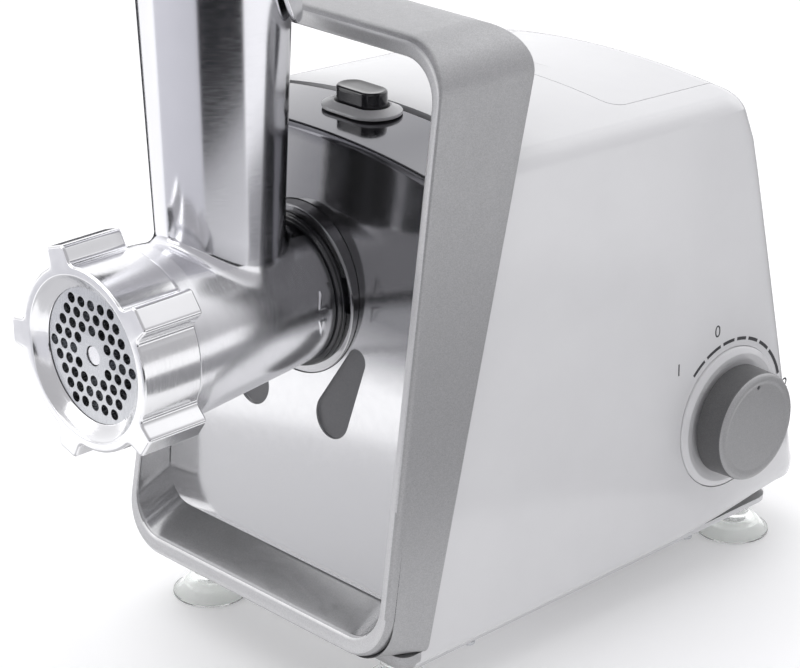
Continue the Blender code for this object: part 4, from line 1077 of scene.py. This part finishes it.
def build_button():
    length, width = 0.0262, 0.0142
    top, bottom = BUTTON_HIGH.z, 0.242
    levels = [(length - 0.001, width - 0.001, bottom), (length, width, bottom + 0.0005)]
    levels += [(length, width, bottom + (top - bottom) * share) for share in (0.3, 0.6, 0.85)]
    edge = 0.0011
    for k in range(6):
        a = pi / 2 * k / 5
        shrink = 2 * edge * (1 - cos(a))
        levels.append((length - shrink, width - shrink, top - edge * (1 - sin(a))))
    dish = ((0.0034, 0.0001), (0.0052, 0.0003), (0.008, 0.00045), (0.011, 0.0005), (0.0138, 0.0005))
    for shrink, sink in dish:
        levels.append((length - shrink, width - shrink, top - sink))
    button = skin("button_cap", stadium_rows(levels, BUTTON_Y), caps=True, sharp=50)
    side = [
        (BUTTON_Y - 0.004, 0.2145), (BUTTON_Y - 0.00195, 0.2145), (BUTTON_Y + 0.003, 0.21945),
        (BUTTON_Y + 0.003, 0.243), (BUTTON_Y - 0.004, 0.243),
    ]
    join(button, prism("stem", side, -0.0035, 0.0035, "YZ"))
    put(level_shading(button), "button", "black_plastic", BLACK, "release_button")

    low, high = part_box("button_collar")
    levels = [
        (0.027, 0.015, low.z + 0.0017), (0.034, 0.02, low.z + 0.0017),
        (0.034, 0.02, 0.2455), (0.0392, 0.0252, 0.2456), (0.04, 0.026, 0.2459),
        (0.0402, 0.0262, 0.2466), (0.0398, 0.0258, 0.2472), (0.0312, 0.0184, 0.2489),
        (0.0304, 0.0178, high.z), (0.0292, 0.0168, high.z), (0.0282, 0.016, high.z - 0.0003),
        (0.0272, 0.0151, high.z - 0.0012), (0.027, 0.015, high.z - 0.002),
    ]
    collar = skin("button_skirt", stadium_rows(levels, BUTTON_Y), along=True, sharp=45)
    outlines = [stadium(0, BUTTON_Y, 0.034, 0.02, 16), circle(0, BUTTON_Y, 0.0056, 32)]
    join(collar, slab("shelf", outlines, low.z, low.z + 0.002, "XY"))
    put(level_shading(collar), "chassis", "silver_paint", COLLAR_GREY, "button_collar")


# ---------------------------------------------------------------- base, feet and storage

def build_feet():
    for tag in CORNERS:
        low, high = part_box("suction_foot_" + tag)
        centre = centre_of("suction_foot_" + tag)[:2]
        radius = (high.x - low.x) / 2
        corners = [
            (0, high.z, 0), (0.0044, high.z, 0.0006), (0.0044, high.z - 0.002, 0),
            (0.003, high.z - 0.0022, 0), (0.003, 0.0146, 0), (0.008, 0.0146, 0.0008),
            (0.008, 0.01, 0.002), (0.0125, 0.0068, 0.005), (radius - 0.0012, 0.0016, 0.0012),
            (radius, 0.0014, 0.0004), (radius, 0.0, 0.0005), (radius - 0.0016, 0.0, 0.0003),
            (0.012, 0.0036, 0.004), (0.006, 0.005, 0.003), (0, 0.0052, 0),
        ]
        foot = turned("suction_cup_" + tag, rounded(corners, 6, 2), centre, "Z", 112)
        put(foot, "chassis", "clear_vinyl", VINYL, "suction_foot_" + tag)


def build_screws():
    for tag in CORNERS:
        low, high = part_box("base_screw_" + tag)
        x, y, _z = centre_of("base_screw_" + tag)
        corners = [
            (0, high.z, 0), (0.0007, high.z, 0), (0.0013, high.z - 0.0012, 0), (0.0013, 0.0147, 0),
            (0.003, 0.0147, 0.0003), (0.003, low.z, 0.001), (0, low.z, 0),
        ]
        screw = turned("screw_" + tag, rounded(corners, 4, 2), (x, y), "Z", 48)
        slots = []
        for u, v in ((0.0019, 0.0004), (0.0004, 0.0019)):
            slot_low, slot_high = (x - u, y - v, low.z - 0.001), (x + u, y + v, low.z + 0.0011)
            slots.append(block("slot", slot_low, slot_high, 0))
        cut(screw, *slots)
        put(screw, "chassis", "steel", STEEL, "base_screw_" + tag)


def build_gland():
    low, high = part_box("cord_gland")
    corners = [
        (0.007, high.y, 0.0008), (0.007, behind(0.2535), 0.0005),
        (0.01, behind(0.2535), 0.0007), (0.01, low.y, 0.0005), (0.0038, low.y, 0.0005),
        (0.0038, high.y, 0.0008),
    ]
    x, _y, z = centre_of("cord_gland")
    gland = turned("cord_entry", rounded(corners, 5, 2), (x, z), "Y", 96, closed=True)
    put(gland, "chassis", "grey_plastic", GREY, "cord_gland")


def build_storage():
    low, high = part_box("storage_bin")
    wall = 0.002
    bin_shell = block("storage_tub", low, high, 0.0012)
    inner_low = (low.x + wall, low.y + wall, low.z + wall)
    cut(bin_shell, block("space", inner_low, (high.x - wall, high.y - wall, high.z + 0.01), 0.003))
    put(bin_shell, "chassis", "white_abs", WHITE, "storage_bin")
    for name, node, ring, count, hole in (
        ("spare_disc_coarse", "coarse_plate", 0.018, 5, 0.0062),
        ("spare_disc_medium", "medium_plate", 0.0205, 8, 0.004),
    ):
        low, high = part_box(node)
        x, y, _z = centre_of(node)
        radius = (high.x - low.x) / 2
        outlines = [circle(x, y, radius, 96), circle(x, y, 0.0043, 24)]
        outlines += [circle(x + ring * cos(a), y + ring * sin(a), hole, 24) for a in spread(count)]
        if count == 8:
            inner = [(x + 0.0105 * cos(a), y + 0.0105 * sin(a)) for a in spread(4, pi / 4)]
            outlines += [circle(u, v, 0.003, 20) for u, v in inner]
        disc = slab(name, outlines, low.z, high.z, "XY", 0.0003)
        put(level_shading(disc), "chassis", "steel", STEEL, node)


# ---------------------------------------------------------------- materials

def surface(name, metallic=0.0, **sockets):
    """New material; returns it with its node tree and its shader."""
    made = bpy.data.materials.new(name)
    made.use_nodes = True
    shader = made.node_tree.nodes["Principled BSDF"]
    shader.inputs["Metallic"].default_value = metallic
    for socket, value in sockets.items():
        shader.inputs[socket.replace("_", " ")].default_value = value
    return made, made.node_tree, shader


def noise(tree, scale, detail=3.0, stretch=(1, 1, 1)):
    """Noise in the object's own metres; stretch multiplies the detail along each axis."""
    place = tree.nodes.new("ShaderNodeTexCoord")
    mapping = tree.nodes.new("ShaderNodeMapping")
    mapping.inputs["Scale"].default_value = stretch
    texture = tree.nodes.new("ShaderNodeTexNoise")
    texture.inputs["Scale"].default_value = scale
    texture.inputs["Detail"].default_value = detail
    tree.links.new(place.outputs["Object"], mapping.inputs["Vector"])
    tree.links.new(mapping.outputs["Vector"], texture.inputs["Vector"])
    return texture.outputs[0]


def flakes(tree, scale):
    """Random grey for each small cell, as the flakes of a metallic paint."""
    place = tree.nodes.new("ShaderNodeTexCoord")
    cells = tree.nodes.new("ShaderNodeTexVoronoi")
    cells.inputs["Scale"].default_value = scale
    grey = tree.nodes.new("ShaderNodeRGBToBW")
    tree.links.new(place.outputs["Object"], cells.inputs["Vector"])
    tree.links.new(cells.outputs["Color"], grey.inputs["Color"])
    return grey.outputs["Val"]


def ranged(tree, value, low, high, start=0.3, end=0.7):
    remap = tree.nodes.new("ShaderNodeMapRange")
    for socket, number in (("From Min", start), ("From Max", end), ("To Min", low), ("To Max", high)):
        remap.inputs[socket].default_value = number
    tree.links.new(value, remap.inputs["Value"])
    return remap.outputs["Result"]


def colours(tree, value, dark, light, start=0.3, end=0.7):
    ramp = tree.nodes.new("ShaderNodeValToRGB")
    ramp.color_ramp.elements[0].position = start
    ramp.color_ramp.elements[1].position = end
    ramp.color_ramp.elements[0].color = (*dark, 1)
    ramp.color_ramp.elements[1].color = (*light, 1)
    tree.links.new(value, ramp.inputs["Fac"])
    return ramp.outputs["Color"]


def raised(tree, value, distance, before=None):
    bump = tree.nodes.new("ShaderNodeBump")
    bump.inputs["Strength"].default_value = 1.0
    bump.inputs["Distance"].default_value = distance
    tree.links.new(value, bump.inputs["Height"])
    if before is not None:
        tree.links.new(before, bump.inputs["Normal"])
    return bump.outputs["Normal"]


def connect(tree, shader, colour=None, roughness=None, normal=None):
    for socket, value in (("Base Color", colour), ("Roughness", roughness), ("Normal", normal)):
        if value is not None:
            tree.links.new(value, shader.inputs[socket])


def moulded(name, dark, light, rough, orange_peel, texture=0.0, **sockets):
    """Injection-moulded plastic: faint mottling, uneven gloss and orange peel."""
    made, tree, shader = surface(name, **sockets)
    colour = colours(tree, noise(tree, 18, 4), dark, light)
    roughness = ranged(tree, noise(tree, 140, 5), rough[0], rough[1])
    normal = raised(tree, noise(tree, 420, 2), orange_peel)
    if texture:
        normal = raised(tree, noise(tree, 2600, 2), texture, normal)
    connect(tree, shader, colour, roughness, normal)
    return made


def painted(name, dark, light, rough, metallic, flake_scale, flake_height, **sockets):
    """Metallic paint: flakes of changing brightness under the lacquer."""
    made, tree, shader = surface(name, metallic, **sockets)
    sparkle = flakes(tree, flake_scale)
    colour = colours(tree, sparkle, dark, light, 0.15, 0.85)
    roughness = ranged(tree, noise(tree, 260, 4), rough[0], rough[1])
    normal = raised(tree, sparkle, flake_height)
    normal = raised(tree, noise(tree, 70, 2), 0.000004, normal)
    connect(tree, shader, colour, roughness, normal)
    return made


def machined(name, dark, light, rough, stretch, grain, depth, blotch=0.00001, metallic=1.0, **sockets):
    """Metal with a fine grain drawn out along one direction, and softly uneven polish."""
    made, tree, shader = surface(name, metallic, **sockets)
    lines = noise(tree, grain, 4, stretch)
    colour = colours(tree, noise(tree, 22, 5), dark, light)
    roughness = ranged(tree, lines, rough[0], rough[1])
    normal = raised(tree, lines, depth)
    normal = raised(tree, noise(tree, 38, 2), blotch, normal)
    connect(tree, shader, colour, roughness, normal)
    return made


def paint_shade_along(look, axis, start, end, share, shade):
    """Painted shade: blend a finish's colour towards a darker shade along one of the object's axes."""
    tree = look.node_tree
    shader = tree.nodes["Principled BSDF"]
    first = shader.inputs["Base Color"].links[0].from_socket
    place = tree.nodes.new("ShaderNodeTexCoord")
    split = tree.nodes.new("ShaderNodeSeparateXYZ")
    tree.links.new(place.outputs["Object"], split.inputs["Vector"])
    amount = ranged(tree, split.outputs[axis], 0.0, share, start, end)
    blend = tree.nodes.new("ShaderNodeMixRGB")
    tree.links.new(amount, blend.inputs["Fac"])
    tree.links.new(first, blend.inputs["Color1"])
    blend.inputs["Color2"].default_value = (*shade, 1)
    tree.links.new(blend.outputs["Color"], shader.inputs["Base Color"])


def clear_vinyl():
    made, tree, shader = surface("clear_vinyl_cup", Transmission_Weight=1.0, IOR=1.22)
    colour = colours(tree, noise(tree, 60, 3), (0.93, 0.95, 0.93), (0.97, 0.98, 0.97))
    roughness = ranged(tree, noise(tree, 300, 3), 0.08, 0.2)
    connect(tree, shader, colour, roughness, raised(tree, noise(tree, 500, 2), 0.00001))
    return made


def woven_board():
    """Green circuit board with a faint glass weave."""
    made, tree, shader = surface("circuit_board_green")
    weave = noise(tree, 900, 2, (1, 4, 0.3))
    colour = colours(tree, weave, (0.02, 0.13, 0.05), (0.05, 0.25, 0.1))
    connect(tree, shader, colour, ranged(tree, weave, 0.3, 0.5), raised(tree, weave, 0.00002))
    return made


WHITE = moulded(
    "white_abs_gloss", (0.705, 0.705, 0.715), (0.74, 0.74, 0.75), (0.12, 0.19), 0.0000025,
    Coat_Weight=0.1, Coat_Roughness=0.06,
)
BLACK = moulded(
    "black_abs", (0.012, 0.012, 0.014), (0.022, 0.022, 0.026), (0.1, 0.22), 0.000003,
    Coat_Weight=0.4, Coat_Roughness=0.05,
)
GREY = moulded("grey_abs", (0.26, 0.26, 0.27), (0.34, 0.34, 0.35), (0.38, 0.52), 0.000006, 0.000004)
NYLON = moulded(
    "natural_nylon", (0.66, 0.64, 0.58), (0.78, 0.75, 0.69), (0.38, 0.55), 0.000008, 0.000004,
    Subsurface_Weight=0.15, Subsurface_Scale=0.002,
)
INK = moulded("printing_ink", (0.045, 0.045, 0.05), (0.075, 0.075, 0.08), (0.4, 0.55), 0.000002)
SILVER = painted(
    "silver_paint_flake", (0.37, 0.37, 0.377), (0.475, 0.475, 0.482), (0.36, 0.44), 0.6, 3400, 0.000003,
    Coat_Weight=0.25, Coat_Roughness=0.22,
)
# Lighter copy of the bezel paint for the front lip: painted light.
LIP_SILVER_PAINTED_LIGHT = painted(
    "silver_lip_painted_light", (0.56, 0.56, 0.567), (0.66, 0.66, 0.667), (0.34, 0.42), 0.55, 3400, 0.0000024,
    Coat_Weight=0.25, Coat_Roughness=0.22,
)
# Glossier, slightly darker copy of the bezel paint for the inner faces: the darker colour is painted shade.
INNER_SILVER_PAINTED_SHADE = painted(
    "silver_inner_painted_shade", (0.36, 0.36, 0.367), (0.44, 0.44, 0.447), (0.16, 0.22), 0.7, 3400, 0.0000008,
    Coat_Weight=0.4, Coat_Roughness=0.06,
)
COLLAR_GREY = painted(
    "pale_grey_paint", (0.6, 0.6, 0.61), (0.66, 0.66, 0.67), (0.4, 0.48), 0.1, 4200, 0.000001,
    Coat_Weight=0.2, Coat_Roughness=0.2,
)
# Front panel lacquer; below, its colour gets painted shade that darkens it upwards.
PANEL_PAINTED_SHADE = painted(
    "silver_panel_painted_shade", (0.76, 0.76, 0.77), (0.81, 0.81, 0.82), (0.1, 0.15), 0.9, 4200, 0.0000004,
    Coat_Weight=0.5, Coat_Roughness=0.04,
)
# Dark grey for the petal floors: painted shade standing in for their dark reflection.
PETAL_PAINTED_SHADE = painted(
    "petal_painted_shade_grey", (0.115, 0.115, 0.12), (0.14, 0.14, 0.145), (0.3, 0.38), 0.5, 4200, 0.000001,
)
KNOB_GREY = painted(
    "knob_satin_grey", (0.37, 0.37, 0.375), (0.45, 0.45, 0.455), (0.4, 0.5), 0.45, 4000, 0.0000024,
)
# Darker copy of the knob grey for its side: painted shade.
SKIRT_PAINTED_SHADE = painted(
    "knob_skirt_painted_shade", (0.115, 0.115, 0.117), (0.155, 0.155, 0.157), (0.4, 0.5), 0.45, 4000, 0.0000024,
)
BARREL_METAL = machined(
    "aluminium_barrel", (0.8, 0.8, 0.82), (0.87, 0.87, 0.89), (0.17, 0.25),
    (1, 14, 1), 160, 0.000001, 0.000012,
)
# Hopper finish; below, its colour gets painted shade towards the housing.
HOPPER_METAL_PAINTED_SHADE = machined(
    "aluminium_hopper_painted_shade", (0.74, 0.74, 0.77), (0.81, 0.81, 0.84), (0.12, 0.19),
    (1, 1, 16), 200, 0.0000005, 0.000006,
)
RING_METAL = machined(
    "aluminium_ring", (0.84, 0.84, 0.85), (0.9, 0.9, 0.91), (0.12, 0.2),
    (1, 10, 1), 160, 0.0000008, 0.00001,
)
TRAY_METAL = machined(
    "aluminium_tray", (0.74, 0.74, 0.76), (0.82, 0.82, 0.84), (0.16, 0.26),
    (14, 1, 14), 120, 0.000001, 0.00001,
)
STEEL = machined(
    "ground_steel", (0.52, 0.53, 0.55), (0.64, 0.65, 0.67), (0.2, 0.34), (16, 1, 1), 160, 0.000002,
)
COPPER = machined(
    "copper_segments", (0.5, 0.22, 0.11), (0.66, 0.32, 0.17), (0.26, 0.42), (1, 18, 1), 160, 0.000003,
)
BRONZE = machined(
    "sintered_bronze_bush", (0.42, 0.29, 0.12), (0.58, 0.42, 0.2), (0.36, 0.52), (1, 1, 1), 900, 0.000008,
)
# Painted shade: the hopper gets darker towards the housing, and the front panel gets darker upwards, standing
# in for dark reflections.
paint_shade_along(HOPPER_METAL_PAINTED_SHADE, "Y", HOPPER_Y + 0.006, HOPPER_Y + 0.022, 0.85, (0.13, 0.13, 0.135))
# Painted shade on the front panel: darker upwards from z 0.14, and darker again on the deck, standing in for
# dark reflections.
paint_shade_along(PANEL_PAINTED_SHADE, "Z", 0.14, 0.172, 1.0, (0.235, 0.235, 0.245))
paint_shade_along(PANEL_PAINTED_SHADE, "Z", 0.238, 0.2435, 1.0, (0.115, 0.115, 0.13))
VINYL = clear_vinyl()
BOARD = woven_board()

FINISHES = {
    "white_abs": WHITE,
    "silver_paint": SILVER,
    "silver_panel": PANEL_PAINTED_SHADE,
    "polished_aluminium": BARREL_METAL,
    "steel": STEEL,
    "black_plastic": BLACK,
    "grey_plastic": GREY,
    "clear_vinyl": VINYL,
    "nylon": NYLON,
    "copper": COPPER,
    "sintered_bronze": BRONZE,
    "circuit_board": BOARD,
}


def finish_inner_nodes():
    """Give every CAD node that still shows the procedural finish of its slot."""
    for entry in frame["record"]["subparts"]:
        mesh = frame["nodes"][entry["node"]].data
        mesh.materials.clear()
        mesh.materials.append(FINISHES[entry["material_slot"]])


# ---------------------------------------------------------------- studio

def build_floor():
    """Wide flat pale floor, a little below the feet, with a small round gap under the machine's middle."""
    rings = []
    for radius in (0.05, 1.0, 3.0, 6.0, 9.0):
        rings.append([(radius * cos(a), radius * sin(a), -0.0002) for a in spread(96)])
    floor = skin("studio_floor", rings)
    made, tree, shader = surface("floor_white")
    shade = colours(tree, noise(tree, 3, 2), (0.9, 0.9, 0.905), (0.92, 0.92, 0.92))
    connect(tree, shader, shade, ranged(tree, noise(tree, 60, 3), 0.55, 0.65))
    shader.inputs["Emission Color"].default_value = (1.0, 1.0, 1.0, 1)
    shader.inputs["Emission Strength"].default_value = 0.16
    floor.data.materials.append(made)


def build_card(name, near, far, first, last, shade):
    """Fan-shaped card just above the floor that only reflections show."""
    angles = [radians(first + (last - first) * k / 24) for k in range(25)]
    rows = []
    for radius in (near, far):
        rows.append([(radius * sin(a), -radius * cos(a), 0.004) for a in angles])
    card = skin(name, rows, around=False)
    made, tree, shader = surface(name + "_matt")
    connect(tree, shader, colours(tree, noise(tree, 5, 2), shade, shade))
    shader.inputs["Roughness"].default_value = 1.0
    shader.inputs["Specular IOR Level"].default_value = 0.0
    card.data.materials.append(made)
    card.visible_camera = card.visible_diffuse = False
    card.visible_shadow = card.visible_transmission = False


# Name, nearest and farthest radius, first and last degree round from the front, and shade.
CARDS = (
    ("front_right_shade", 0.68, 3.0, 22, 85, (0.012, 0.012, 0.014)),
    ("front_right_grey", 0.45, 0.679, 22, 85, (0.6, 0.6, 0.61)),
    ("front_grey", 0.54, 3.0, -44, 21.9, (0.58, 0.58, 0.61)),
    ("near_grey", 0.16, 0.39, -78, 0, (0.62, 0.62, 0.63)),
    ("left_shade", 0.2, 3.0, -165, -90, (0.03, 0.03, 0.035)),
    ("right_grey", 0.22, 0.58, 86, 139.9, (0.27, 0.27, 0.28)),
    ("rear_shade", 0.3, 3.0, 140, 194, (0.04, 0.04, 0.045)),
)


def build_lights():
    world = bpy.data.worlds.new("studio_air")
    world.use_nodes = True
    tree = world.node_tree
    place = tree.nodes.new("ShaderNodeTexCoord")
    towards = tree.nodes.new("ShaderNodeVectorMath")
    towards.operation = "DOT_PRODUCT"
    towards.inputs[1].default_value = (-0.5, 0.5, 0.71)
    tree.links.new(place.outputs["Generated"], towards.inputs[0])
    sky = colours(tree, towards.outputs["Value"], (0.5, 0.495, 0.515), (1.22, 1.22, 1.24), 0.0, 0.7)
    tree.links.new(sky, tree.nodes["Background"].inputs["Color"])
    bpy.context.scene.world = world
    sun = bpy.data.lights.new("overhead_glow", "SUN")
    sun.energy = 0.35
    sun.angle = radians(50)
    lamp = bpy.data.objects.new("overhead_glow", sun)
    lamp.rotation_euler = Euler((radians(14), radians(-16), 0))
    bpy.context.scene.collection.objects.link(lamp)
    for name, place, aim, size, energy in (
        ("left_softbox", (-0.9, -1.5, 0.7), (0, 0, 0.15), 1.0, 6.0),
        ("rear_softbox", (0.2, 1.7, 1.3), (0, 0, 0.2), 1.2, 2.0),
    ):
        area = bpy.data.lights.new(name, "AREA")
        area.shape = "SQUARE"
        area.size = size
        area.energy = energy
        lamp = bpy.data.objects.new(name, area)
        lamp.location = place
        lamp.rotation_euler = (Vector(aim) - Vector(place)).to_track_quat("-Z", "Y").to_euler()
        bpy.context.scene.collection.objects.link(lamp)


def build_camera():
    lens = bpy.data.cameras.new("camera")
    lens.sensor_width = 36
    lens.lens = 120.28
    lens.shift_x = -0.0028
    lens.shift_y = -0.0224
    camera = bpy.data.objects.new("camera", lens)
    camera.location = (0.81063, -0.79352, 0.60277)
    camera.rotation_euler = Euler((radians(67.76), radians(-0.05), radians(45.94)))
    bpy.context.scene.collection.objects.link(camera)
    bpy.context.scene.camera = camera


build_camera()
build_floor()
for card in CARDS:
    build_card(*card)
build_lights()
bpy.context.scene.view_settings.view_transform = "Standard"

finish_inner_nodes()
build_housing()
build_lid()
build_bezel()
build_front_cover()
build_socket()
build_bayonet()
build_head()
lock_mark("lock_arrow_open", radians(13), -0.0092, 1)
lock_mark("lock_arrow_close", radians(-11), -0.0092, -1)
build_ring()
build_plate()
build_tray()
build_pusher()
build_knob()
build_dial()
build_button()
build_feet()
build_screws()
build_gland()
build_storage()
